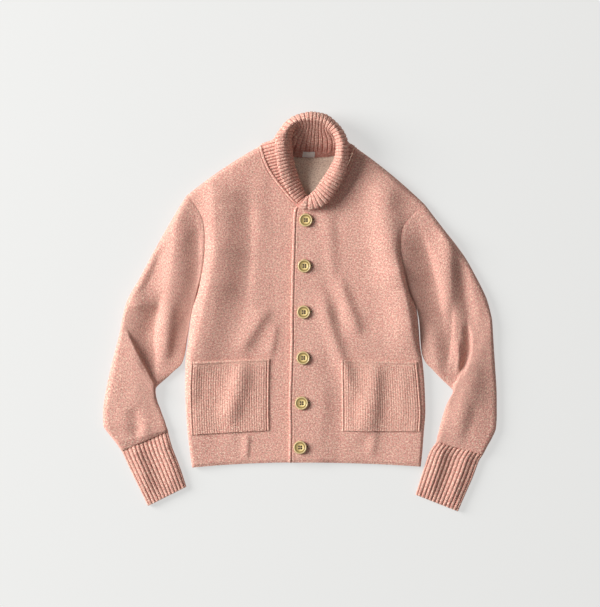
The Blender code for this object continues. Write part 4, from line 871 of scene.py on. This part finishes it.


def neck_line():
    """The neck seam under the panels' edges, from the wearer's right tip to the left one."""
    levels = np.linspace(NECK_START, SHOULDER, 81)
    right = front_face(RIGHT_FRONT, levels, 1.0)
    left = front_face(LEFT_FRONT, levels[levels >= NECK_START + 1][::-1], 1.0)
    f = np.linspace(0, 1, 61)[1:-1]
    neck_x, neck_y = np.array(BACK_NECK, float).T
    x = neck_x[0] + f * (neck_x[-1] - neck_x[0])
    back = np.stack([x, np.interp(x, neck_x, neck_y), 0 * x + WALL], axis=-1)
    right[:, 2] -= WALL
    left[:, 2] -= WALL
    return np.concatenate([right, back, left])


NECK_LINE = neck_line()
NECK_LENGTH = lengths(NECK_LINE[:, :2], 0)


def neck_seam(at):
    return np.stack([np.interp(at * NECK_LENGTH[-1], NECK_LENGTH, axis) for axis in NECK_LINE.T], axis=-1)


def curve(place, knots, at):
    """A smooth curve through knots, each at its own place along it."""
    h = np.diff(place)[:, None]
    d = np.diff(knots, axis=0) / h
    slope = np.zeros_like(knots)
    slope[1:-1] = (h[1:] * d[:-1] + h[:-1] * d[1:]) / (h[1:] + h[:-1])
    slope[0], slope[-1] = d[0], d[-1]
    i = np.clip(np.searchsorted(place, at, side="right") - 1, 0, len(h) - 1)
    f = (at - place[i])[:, None] / h[i]
    return hermite(f, knots[i], h[i] * slope[i], knots[i + 1], h[i] * slope[i + 1])


def collar_face(row, across):
    """The collar's visible face without its ribs, at a place in its table and across its width."""
    get = reader(COLLAR_ROWS, COLLAR_COLUMNS, row)
    seam = neck_seam(get("seam"))
    into, over = with_height(spot(get, "in"), get("z_in")), spot(get, "out")
    seam[..., :2] += SEAM_INSET * unit(into[..., :2] - seam[..., :2])
    away = unit(seam[..., :2] - np.array(NECK_CENTRE))
    stand = (seam + into) / 2
    stand[..., :2] += get("bulge")[..., None] * away
    stand[..., 2] = get("z_stand")
    top = with_height(0.5 * (into[..., :2] + over), get("z_top"))
    drop = get("z_top") - get("z_edge")
    tuck = unit(into[..., :2] - over) * (ROLL_TUCK * drop)[..., None]
    out = with_height(over, get("z_top") - ROLL_OUT * drop)
    edge = with_height(over + tuck, get("z_edge"))
    knots = np.stack([seam, stand, into, top, out, edge], axis=-2)
    place = lengths(knots, 1)
    place = place / place[..., -1:]
    return np.array([curve(p, k, across) for p, k in zip(place, knots)])


def collar_cloth():
    """A ribbed band from the neck seam up the stand, over the roll and down to its free edge."""
    fine = np.linspace(0, len(COLLAR_ROWS) - 1, 400)
    length = lengths(collar_face(fine, np.array([0.5]))[:, 0], 0)
    share = np.linspace(0, 1, COLLAR_RIBS * RIB_STEPS + 1)
    across = np.sort(np.concatenate([np.linspace(0, 1, COLLAR_FINE), COLLAR_EXTRA]))
    face = collar_face(np.interp(share * length[-1], length, fine), across)
    normal = grid_normals(face)
    way = unit(face[:, 8, :2] - face[:, 0, :2])
    lean = np.clip(np.sum(way * normal[:, 0, :2], axis=-1), 0, 1)
    shift = SEAM_LEAN * RIB_WALL * lean[:, None] * np.clip(1 - across / SEAM_LEAN_REACH, 0, 1)
    face[..., :2] += shift[..., None] * way[:, None]
    up = lengths(face, 1)
    ribs = (share * COLLAR_RIBS)[:, None]
    crown = twin(ribs)
    back = np.exp(-(((share - BACK_PART[0]) / BACK_PART[1]) ** 4))[:, None]
    ribbed = 1 - back * (1 - step((up - PLAIN_TOP[0]) / PLAIN_TOP[1]))
    bump, number, pace = PLAIN_BUMPS
    bumps = bump * np.sin(np.pi * ribs * number) * np.sin(up * pace) * (1 - ribbed)
    high, long, size = COLLAR_WAVE
    wave = high * rumple(share[:, None] * long, up, size, 11)
    groove = COLLAR_GROOVE * (1 - crown) * (PLAIN_GROOVE + (1 - PLAIN_GROOVE) * ribbed)
    rise = RIB_RISE - groove + bumps + wave
    outer = face + rise[..., None] * normal
    reverse = ridge(ribs + 0.5)
    deep = COLLAR_THIN + REVERSE_RISE * reverse
    weave = np.stack([share[:, None] * length[-1] + 0 * up, up], axis=-1)
    # relief, and the reverse's ribs on the inner face, paint shade in the grooves and a highlight on the
    # crests
    relief = 1 - 0.85 * (1 - crown) * ribbed
    # painted shade inside the stand, low down and most at the back of the neck
    painted_stand_shade = STAND_PAINTED_SHADE * (1 - step((up - INNER_FADE[0]) / INNER_FADE[1])) * (0.25 + 0.75 * back)
    return shell(
        "collar_rib", outer, face - deep[..., None] * normal, weave,
        relief=relief, under=reverse, shade=painted_stand_shade, reverse=0.0,
    )


# Label

BACK_ROWS = (9, 15)  # rows of the collar's table along the back of the neck
LABEL_LINE = 0.03  # place across the collar at which the label's ends are set out
LABEL_FINE = (49, 25)
LABEL_WAVE = (0.25, 20.0, 9.0, 7.0)  # height, reach across and up, and size of its unevenness
LABEL_SEWN = (0.35, 0.9, 0.03)  # the seam at each end: its depth, and its place and half width by halves


def label_cloth():
    """A bare woven strip sewn over the back neck seam, inside the collar."""
    wide, high = LABEL_FINE
    rows = np.linspace(*BACK_ROWS, 121)
    line = collar_face(rows, np.array([LABEL_LINE]))[:, 0]
    pick = np.interp(np.linspace(*LABEL_X, wide), line[:, 0], rows)
    fine = np.linspace(0, 1, 401)
    length = lengths(collar_face(np.array([pick.mean()]), fine)[0], 0)
    share = np.interp(np.linspace(LABEL_START, LABEL_START + LABEL_DEPTH, high), length, fine)
    grid = collar_face(pick, share)
    u, v = np.linspace(-1, 1, wide)[:, None], np.linspace(-1, 1, high)[None]
    up = grid_normals(grid)
    rise, reach_u, reach_v, size = LABEL_WAVE
    lift = LABEL_LIFT + rise * rumple(u * reach_u, v * reach_v, size, 4)
    deep, place, half = LABEL_SEWN
    sewn = deep * bell((np.abs(u) - place) / half) * (0.5 + 0.5 * np.cos(v * 40))
    low = grid + lift[..., None] * up
    weave = 0.5 * np.stack([24 * u + 0 * v, LABEL_DEPTH * v + 0 * u], axis=-1)
    return shell("label_tape", low + (LABEL_THICK - sewn)[..., None] * up, low, weave, bulge=0.2)


# Buttons and buttonholes

BUTTON_FINE = (  # height and radius round a button's section
    (0.0, 11.6), (0.4, 12.4), (1.4, 13.4), (2.6, 13.5), (3.6, 13.1), (4.3, 12.3), (4.5, 11.6), (4.3, 10.9),
    (3.7, 10.2), (3.45, 9.6), (3.45, 9.0), (3.6, 8.5), (3.7, 8.0), (3.5, 7.3), (3.0, 6.5), (2.7, 5.0),
    (2.6, 3.0), (2.6, 1.0),
)
BUTTON_SIDES = 72
PIN_SIDES = 20
THREAD_R = 0.22
THREAD_ENDS = 1.2  # height of a thread's ends over a button's underside
THREAD_TOP = 2.9  # where it leaves its hole
THREAD_ARCH = 0.75
THREAD_CROSS = 0.25  # how much higher the second thread lies
# a near-black tube on the cloth stands for the shade in each buttonhole's open end
SLIT_START = (10.5, 0.8)  # from a button's centre to the part of its buttonhole that shows
SLIT_RUN = (5.6, 0.6)
SLIT_R = 1.15
SLIT_LIFT = 0.2
SHADE_DISC_R = 4.9  # radius of a near-black disc under a button, painted shade seen through its holes
SHADE_DISC_LEVELS = (-0.35, -0.1)  # its lower and upper side, from a button's underside
SHADE_DISC_SIDES = 24
STITCH_CENTRE = (15.2, 1.3)  # of the stitches round a buttonhole's end, from the button's centre
STITCH_REACH = (0.8, 2.7)
STITCH_RISE = 0.55
STITCH_R = 0.3


def front_at(x, y):
    """The point of the upper front's outer face above a place."""
    level, across = 8.0, 0.9
    for _ in range(30):
        here = front_plan(LEFT_FRONT, level, across)
        dl = front_plan(LEFT_FRONT, level + 0.01, across) - here
        da = front_plan(LEFT_FRONT, level, across + 0.001) - here
        move = np.linalg.solve(np.array([dl / 0.01, da / 0.001]).T, np.array([x, y]) - here)
        level = float(np.clip(level + move[0], 0.0, SHOULDER - 0.02))
        across = float(np.clip(across + move[1], 0.0, 0.998))
    return front_face(LEFT_FRONT, level, across)


def button_seat(x, y):
    """Centre of a button's underside and its two directions and normal."""
    base = front_at(x, y)
    right, left = front_at(x + BUTTON_REACH, y), front_at(x - BUTTON_REACH, y)
    back, fore = front_at(x, y + BUTTON_REACH), front_at(x, y - BUTTON_REACH)
    u = unit(right - left)
    n = unit(np.cross(u, unit(back - fore)))
    high = max(0.0, *(float((place - base) @ n) for place in (right, left, back, fore)))
    return base + (high + SEAM + BUTTON_CLEAR) * n, u, np.cross(n, u), n


def placed(local, seat):
    base, u, v, n = seat
    return base + local[:, :1] * u + local[:, 1:2] * v + local[:, 2:3] * n


def ring_faces(rings, sides):
    """Faces of a closed solid of some rings of points, with a cap at each end."""
    faces = [tuple(range(sides))[::-1], tuple((rings - 1) * sides + i for i in range(sides))]
    for k in range(rings - 1):
        for i in range(sides):
            j = (i + 1) % sides
            faces.append((k * sides + i, k * sides + j, (k + 1) * sides + j, (k + 1) * sides + i))
    return faces


def lathe(profile, sides):
    """Points and faces of a closed solid turned about an upright axis."""
    angle = np.linspace(0, 2 * np.pi, sides, endpoint=False)
    points = [(r * np.cos(a), r * np.sin(a), z) for z, r in profile for a in angle]
    return np.array(points), ring_faces(len(profile), sides)


def tube(path, radius, sides=8):
    """Points and faces of a closed cord along a path, its ends rounded."""
    path = np.array(path, float)
    along = unit(np.gradient(path, axis=0))
    side = unit(np.cross(along, np.array([0.0, 0.0, 1.0]) + 0.01))
    over = np.cross(side, along)
    size = np.full(len(path), radius)
    size[[0, -1]] = 0.45 * radius
    angle = np.linspace(0, 2 * np.pi, sides, endpoint=False)
    ring = np.cos(angle)[None, :, None] * side[:, None] + np.sin(angle)[None, :, None] * over[:, None]
    points = path[:, None] + size[:, None, None] * ring
    return points.reshape(-1, 3), ring_faces(len(path), sides)


def joined(name, parts, scale=MM):
    """One mesh of several closed ones, each with its points and its faces."""
    points, faces, start = [], [], 0
    for part_points, part_faces in parts:
        points.append(part_points)
        faces += [tuple(start + i for i in face) for face in part_faces]
        start += len(part_points)
    mesh = bpy.data.meshes.new(name)
    mesh.from_pydata((np.concatenate(points) * scale).tolist(), [], faces)
    return linked(name, mesh)


def button_form():
    """A turned button with four holes, as one mesh in millimetres."""
    blank = joined("turned", [lathe(BUTTON_FINE, BUTTON_SIDES)], 1.0)
    pins = []
    for k in range(4):
        a = (k + 0.5) * np.pi / 2
        pin = joined("pin", [lathe(((-2.0, BUTTON_HOLE_R), (8.0, BUTTON_HOLE_R)), PIN_SIDES)], 1.0)
        pin.location = (BUTTON_HOLE_OFF * np.cos(a), BUTTON_HOLE_OFF * np.sin(a), 0)
        pins.append(pin)
        cut = blank.modifiers.new("hole", "BOOLEAN")
        cut.solver = "EXACT"
        cut.object = pin
    mesh = bpy.data.meshes.new_from_object(blank.evaluated_get(bpy.context.evaluated_depsgraph_get()))
    for obj in [blank, *pins]:
        bpy.data.objects.remove(obj)
    return mesh


def button(number, centre, form):
    """A button on its seat, with its own points kept as an attribute."""
    local = np.array([v.co[:] for v in form.vertices])
    mesh = form.copy()
    mesh.vertices.foreach_set("co", (placed(local, button_seat(*centre)) * MM).ravel())
    mesh.attributes.new("place", "FLOAT_VECTOR", "POINT").data.foreach_set("vector", local.ravel())
    mesh.shade_smooth()
    mesh.set_sharp_from_angle(angle=np.radians(50))
    return linked(f"button_{number}_horn", mesh)


def smooth(name, parts):
    obj = joined(name, parts)
    obj.data.shade_smooth()
    return obj


def button_threads():
    """Thread crossed through the holes of each button."""
    s = np.linspace(-1, 1, 13)[:, None]
    parts = []
    for x, y in BUTTONS:
        seat = button_seat(x, y)
        for turn, over in ((0.25, 0.0), (0.75, THREAD_CROSS)):
            way = np.array([np.cos(turn * np.pi), np.sin(turn * np.pi)])
            lift = np.where(np.abs(s) > 0.95, THREAD_ENDS, THREAD_TOP + over + THREAD_ARCH * (1 - s**4))
            path = placed(np.concatenate([s * 1.02 * BUTTON_HOLE_OFF * way, lift], axis=1), seat)
            parts.append(tube(path, THREAD_R))
    return smooth("button_threads", parts)


def buttonholes():
    """Near-black tubes painted as the shade in the open end of each buttonhole beside its button, and a
    near-black disc under each button painted as the shade seen through its holes.
    """
    parts = []
    for x, y in BUTTONS:
        # near-black tube: painted shade in the buttonhole's open end
        start, run = np.array([x, y]) + SLIT_START, np.array(SLIT_RUN)
        line = [front_at(*(start + k * run)) + (0, 0, SLIT_LIFT) for k in np.linspace(0, 1, 7)]
        parts.append(tube(line, SLIT_R))
        # a near-black disc under the button: painted shade seen through its holes
        points, faces = lathe([(z, SHADE_DISC_R) for z in SHADE_DISC_LEVELS], SHADE_DISC_SIDES)
        parts.append((placed(points, button_seat(x, y)), faces))
    return smooth("buttonhole_painted_shade", parts)


def buttonhole_stitches():
    """Stitches wrapped round the end of each buttonhole."""
    near, far = STITCH_REACH
    reach = np.linspace(near, far, 6)[:, None]
    lift = STITCH_RISE * np.sin(np.pi * (reach - near) / (far - near)) * (0, 0, 1)
    parts = []
    for x, y in BUTTONS:
        end = front_at(x + STITCH_CENTRE[0], y + STITCH_CENTRE[1])
        for a in np.radians(np.linspace(-100, 100, 9)):
            parts.append(tube(end + reach * (np.cos(a), np.sin(a), 0.0) + lift, STITCH_R, 6))
    return smooth("buttonhole_stitches", parts)


# Materials

FELT_COLOURS = {
    "ground": (0.79, 0.36, 0.29, 1), "light": (1.0, 0.71, 0.555, 1), "crimson": (0.67, 0.235, 0.225, 1),
    "grey": (0.45, 0.29, 0.21, 1), "dark": (0.41, 0.14, 0.12, 1), "reverse": (0.86, 0.70, 0.56, 1),
}
RIB_COLOURS = {
    "ground": (0.79, 0.36, 0.285, 1), "light": (1.0, 0.71, 0.555, 1), "crimson": (0.64, 0.21, 0.19, 1),
    "grey": (0.44, 0.28, 0.21, 1), "dark": (0.34, 0.095, 0.075, 1), "reverse": (0.42, 0.28, 0.23, 1),
}
FLECKS = (  # colour, scale of its noise, where in the noise it starts and is full, and how strong it is
    ("crimson", 240.0, 0.50, 0.62, 0.55),
    ("light", 310.0, 0.50, 0.61, 0.9),
    ("grey", 350.0, 0.55, 0.66, 0.85),
    ("crimson", 420.0, 0.55, 0.67, 0.6),
    ("light", 520.0, 0.54, 0.65, 0.75),
    ("dark", 500.0, 0.57, 0.68, 0.8),
    ("light", 1000.0, 0.56, 0.70, 0.5),
    ("dark", 1200.0, 0.60, 0.72, 0.45),
)
LINING_FLECKS = (("grey", 330.0, 0.50, 0.64, 0.55), ("dark", 470.0, 0.55, 0.68, 0.6))
FLECK_STRETCH = (0.92, 1.0, 1.0)
FLECK_MOVE = (0.37, 0.71, 1.3)
STITCH_SCALE = 300.0
KNIT_BUMP = 0.0011  # in metres
SHEEN_TINT = (1.0, 0.82, 0.72, 1)
BUTTON_RIM = 14.0  # distance from a button's middle that the rings' shares are of
BUTTON_RINGS = (  # share of it, and colour
    (0.00, (0.80, 0.60, 0.27)), (0.44, (0.84, 0.64, 0.29)), (0.56, (0.60, 0.43, 0.15)),
    (0.64, (0.27, 0.18, 0.05)), (0.71, (0.33, 0.23, 0.07)), (0.78, (0.74, 0.57, 0.30)),
    (0.90, (0.70, 0.53, 0.27)), (0.97, (0.34, 0.25, 0.09)),
)
BUTTON_STREAK = (0.30, 0.24, 0.08, 1)
# painted shade round each hole of a button
HOLE_SHADE = (0.07, 0.045, 0.03, 1)
HOLE_EDGE = (1.6, 2.1)  # distances from a hole's centre between which its painted shade ends
THREAD_TONE = (0.42, 0.27, 0.24, 1)
# near-black painted shade of the buttonholes' open ends and of the discs under the buttons
SLIT_SHADE_TONE = (0.012, 0.010, 0.010, 1)
TAPE_TONES = ((0.72, 0.68, 0.63, 1), (0.86, 0.84, 0.80, 1))
FLOOR_TONE = (0.24, 0.24, 0.235, 1)
FLOOR_GLOW_TONE = (1, 1, 0.985, 1)
FLOOR_GLOW = 0.595


class Nodes:
    """Adds nodes to a material and joins them."""

    def __init__(self, name):
        self.material = bpy.data.materials.new(name)
        self.material.use_nodes = True
        self.tree = self.material.node_tree
        self.shader = self.tree.nodes["Principled BSDF"]

    def put(self, socket, value):
        if isinstance(value, bpy.types.NodeSocket):
            self.tree.links.new(value, socket)
        else:
            socket.default_value = value

    def add(self, kind, *values, **settings):
        """A node with its settings, and its first inputs set or joined in their order."""
        node = self.tree.nodes.new("ShaderNode" + kind)
        for key, value in settings.items():
            setattr(node, key, value)
        for socket, value in zip(node.inputs, values):
            self.put(socket, value)
        return node

    def math(self, operation, *values):
        return self.add("Math", *values, operation=operation).outputs[0]

    def vector(self, operation, *values, output="Vector"):
        return self.add("VectorMath", *values, operation=operation).outputs[output]

    def mix(self, share, a, b):
        node = self.add("Mix", share, data_type="RGBA")
        self.put(node.inputs[6], a)
        self.put(node.inputs[7], b)
        return node.outputs[2]

    def span(self, value, low, high, to_low=0.0, to_high=1.0):
        """Maps low to high onto to_low to to_high and stops at both."""
        return self.add("MapRange", value, low, high, to_low, to_high).outputs["Result"]

    def attribute(self, name, output="Fac"):
        return self.add("Attribute", attribute_name=name).outputs[output]

    def position(self):
        return self.add("NewGeometry").outputs["Position"]

    def noise(self, place, scale, detail=2.0, stretch=(1, 1, 1)):
        mapping = self.add("Mapping", place)
        mapping.inputs["Scale"].default_value = stretch
        return self.add("TexNoise", mapping.outputs[0], 0.0, scale, detail).outputs["Fac"]

    def bands(self, place, direction, scale, distortion=0.0):
        node = self.add("TexWave", place, scale, distortion, wave_type="BANDS", bands_direction=direction)
        return node.outputs["Fac"]

    def finish(self, colour, roughness, height=None, depth=0.0, sheen=0.0, tint=(1, 1, 1, 1), ior=1.45):
        self.put(self.shader.inputs["Base Color"], colour)
        self.put(self.shader.inputs["Roughness"], roughness)
        self.shader.inputs["Sheen Weight"].default_value = sheen
        self.shader.inputs["Sheen Roughness"].default_value = 0.45
        self.shader.inputs["Sheen Tint"].default_value = tint
        self.shader.inputs["IOR"].default_value = ior
        if height is not None:
            bump = self.add("Bump")
            self.put(bump.inputs["Height"], height)
            bump.inputs["Distance"].default_value = depth
            bump.inputs["Strength"].default_value = 1.0
            self.put(self.shader.inputs["Normal"], bump.outputs[0])
        return self.material


def knit(name, tones, groove, sheen):
    """Felted yarn in five colours, with painted highlight on rib crests and painted shade in rib grooves
    (groove), and painted shade wherever the cloth's shade value is set.
    """
    n = Nodes(name)
    ground, light, dark = (tones[key] for key in ("ground", "light", "dark"))
    weave, place = n.attribute("weave", "Vector"), n.position()
    cloud = n.noise(place, 38.0)
    colour = n.mix(n.span(cloud, 0.35, 0.65), ground, n.mix(0.12, ground, light))
    for number, (tone, scale, low, high, much) in enumerate(FLECKS):
        moved = n.vector("ADD", weave, [number * move for move in FLECK_MOVE])
        fleck = n.noise(moved, scale, 2.0, FLECK_STRETCH)
        colour = n.mix(n.span(fleck, low, high, 0.0, much), colour, tones[tone])
    relief = n.attribute("relief")
    # painted shade in the rib grooves and painted highlight on the rib crests, by relief
    colour = n.mix(n.span(relief, 0.10, 0.70, groove, 0.0), colour, dark)
    colour = n.mix(n.span(relief, 0.85, 1.0, 0.0, 0.15 * groove), colour, light)
    # painted shade where the cloth's shade value is set, as inside the collar's stand
    colour = n.mix(n.math("MULTIPLY", n.attribute("shade"), 0.7), colour, dark)
    lining = n.mix(n.span(cloud, 0.3, 0.7, 0.0, 0.2), tones["reverse"], tones["grey"])
    for tone, scale, low, high, much in LINING_FLECKS:
        lining = n.mix(n.span(n.noise(weave, scale), low, high, 0.0, much), lining, tones[tone])
    colour = n.mix(n.span(n.attribute("inside"), 0.4, 0.8), colour, lining)
    fuzz = n.math("MULTIPLY", n.noise(place, 900.0, 4.0), 0.7)
    tuft = n.math("MULTIPLY", n.noise(place, 260.0), 0.9)
    stitches = n.math("MULTIPLY", n.bands(weave, "X", STITCH_SCALE, 4.0), 0.25)
    height = n.math("ADD", n.math("ADD", fuzz, tuft), stitches)
    return n.finish(colour, 0.95, height, KNIT_BUMP, sheen, SHEEN_TINT, 1.3)


def horn_material():
    """Horn in rings: pale rim, olive groove and a yellow disc, with painted shade round the holes."""
    n = Nodes("horn_rings")
    place = n.attribute("place", "Vector")
    flat = n.vector("MULTIPLY", place, (1, 1, 0))
    radius = n.vector("LENGTH", flat, output="Value")
    uneven = n.math("MULTIPLY", n.math("SUBTRACT", n.noise(place, 0.28, 3.0), 0.5), 0.05)
    ramp = n.add("ValToRGB", n.math("ADD", n.math("DIVIDE", radius, BUTTON_RIM), uneven))
    while len(ramp.color_ramp.elements) < len(BUTTON_RINGS):
        ramp.color_ramp.elements.new(0.5)
    for element, (at, tone) in zip(ramp.color_ramp.elements, BUTTON_RINGS):
        element.position = at
        element.color = (*tone, 1)
    streak = n.span(n.noise(place, 0.9, 3.0, (1, 4, 1)), 0.5, 0.8, 0, 0.3)
    colour = n.mix(streak, ramp.outputs[0], BUTTON_STREAK)
    # painted shade round each of the four holes
    hole = (0.707 * BUTTON_HOLE_OFF, 0.707 * BUTTON_HOLE_OFF, 0)
    off = n.vector("DISTANCE", n.vector("ABSOLUTE", flat), hole, output="Value")
    colour = n.mix(n.span(off, *HOLE_EDGE, 1.0, 0.0), colour, HOLE_SHADE)
    n.shader.inputs["Coat Weight"].default_value = 0.15
    return n.finish(colour, 0.5, n.noise(place, 1.4), 0.00008)


def plain_material(name, tone, roughness, change):
    """One tone with fine unevenness, darker by a share in places."""
    n = Nodes(name)
    cloud = n.noise(n.position(), 2500.0, 3.0)
    darker = tuple(change * v for v in tone[:3]) + (1,)
    return n.finish(n.mix(n.span(cloud, 0.35, 0.65), tone, darker), roughness, cloud, 0.0001)


def tape_material():
    """White woven tape."""
    n = Nodes("woven_tape")
    weave = n.attribute("weave", "Vector")
    height = n.math("MULTIPLY", n.bands(weave, "X", 900.0), n.bands(weave, "Y", 900.0))
    return n.finish(n.mix(n.span(height, 0, 1), *TAPE_TONES), 0.85, height, 0.0002)


def floor_material():
    """Plain and pale, with a glow so that it is evenly lit."""
    n = Nodes("pale_floor")
    cloud = n.noise(n.position(), 3.0, 1.0)
    darker = tuple(0.999 * v for v in FLOOR_TONE[:3]) + (1,)
    n.shader.inputs["Emission Color"].default_value = FLOOR_GLOW_TONE
    n.shader.inputs["Emission Strength"].default_value = FLOOR_GLOW
    return n.finish(n.mix(n.span(cloud, 0.3, 0.7), FLOOR_TONE, darker), 1.0, ior=1.0)


# The whole


def dress(obj, node, slot, material):
    obj.data.materials.clear()
    obj.data.materials.append(material)
    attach(obj, "root")
    if node:
        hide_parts(node)


FELT = ("felted_knit", knit("felted_marl", FELT_COLOURS, 0.0, 0.25))
# groove strength 0.75 paints shade in the ribs' grooves and a highlight on their crests
RIB = ("rib_knit", knit("ribbed_marl", RIB_COLOURS, 0.75, 0.2))
HORN = ("horn_button", horn_material())
TAPE = ("label_cloth", tape_material())
THREAD = ("horn_button", plain_material("thread", THREAD_TONE, 0.8, 0.7))
# near-black material for the painted shade at the buttonholes and under the buttons
SLIT_SHADE = ("felted_knit", plain_material("slit_painted_shade", SLIT_SHADE_TONE, 0.9, 0.6))

# Cloth, its node, slot and material, its cut's width and length and its area where that isn't their
# product, and what it lies on
CLOTHS = (
    (back_cloth(), "back", FELT, (0.49, 0.66), 0.275, "sleeve_right"),
    (front_cloth("front_right_cloth", RIGHT_FRONT), "front_right", FELT, (0.265, 0.65), 0.147, "back"),
    (front_cloth("front_left_cloth", LEFT_FRONT), "front_left", FELT, (0.275, 0.65), 0.152, "back"),
    (
        sleeve_cloth("sleeve_right_cloth", RIGHT_SLEEVE, RIGHT_FRONT),
        "sleeve_right", FELT, (0.46, 0.53), 0.125, "back",
    ),
    (
        sleeve_cloth("sleeve_left_cloth", LEFT_SLEEVE, LEFT_FRONT),
        "sleeve_left", FELT, (0.46, 0.53), 0.122, "back",
    ),
    (cuff_cloth("cuff_right_rib", RIGHT_CUFF), "cuff_right", RIB, (0.20, 0.12), None, "sleeve_right"),
    (cuff_cloth("cuff_left_rib", LEFT_CUFF), "cuff_left", RIB, (0.20, 0.12), None, "sleeve_left"),
    (collar_cloth(), "collar", RIB, (0.56, 0.09), None, "back"),
    (pocket_cloth("pocket_right_rib", RIGHT_FRONT), "pocket_right", RIB, (0.155, 0.15), None, "front_right"),
    (pocket_cloth("pocket_left_rib", LEFT_FRONT), "pocket_left", RIB, (0.155, 0.15), None, "front_left"),
    (label_cloth(), "label", TAPE, (0.024, 0.0116), None, "collar"),
)
for obj, node, look, flat, area, rests_on in CLOTHS:
    dress(obj, node, *look)

form = button_form()
for number, centre in enumerate(BUTTONS, 1):
    dress(button(number, centre, form), f"button_{number}", *HORN)
dress(button_threads(), None, *THREAD)
dress(buttonholes(), None, *SLIT_SHADE)
dress(buttonhole_stitches(), None, *FELT)

# Floor, light and camera, in metres

FLOOR_SIZE = 12.0
FLOOR_Z = -0.0006
LAMP_FROM = Vector((-0.868, 0.233, 0.438))
LAMP_AWAY = 6.5
LAMP_ACROSS = 3.97
LAMP_POWER = 781.0
WORLD_STRENGTH = 0.22
CAMERA_PLACE = (0.0, 0.016, 9.0)
LENS = 266.4
SENSOR = 36.0

bpy.ops.mesh.primitive_plane_add(size=FLOOR_SIZE, location=(0, 0, FLOOR_Z))
floor = bpy.context.object
floor.name = "floor"
floor.data.materials.append(floor_material())

lamp = bpy.data.lights.new("softbox", "AREA")
lamp.shape = "DISK"
lamp.size = LAMP_ACROSS
lamp.energy = LAMP_POWER
softbox = linked("softbox", lamp)
softbox.location = LAMP_AWAY * LAMP_FROM
softbox.rotation_euler = (-LAMP_FROM).to_track_quat("-Z", "Y").to_euler()
softbox.visible_camera = False

world = bpy.data.worlds.new("studio")
bpy.context.scene.world = world
world.use_nodes = True
world.node_tree.nodes["Background"].inputs["Color"].default_value = (1.0, 1.0, 1.0, 1)
world.node_tree.nodes["Background"].inputs["Strength"].default_value = WORLD_STRENGTH

camera = bpy.data.cameras.new("overhead")
camera.sensor_width = SENSOR
camera.lens = LENS
eye = linked("overhead", camera)
eye.location = CAMERA_PLACE
bpy.context.scene.camera = eye
bpy.context.scene.view_settings.view_transform = "Standard"
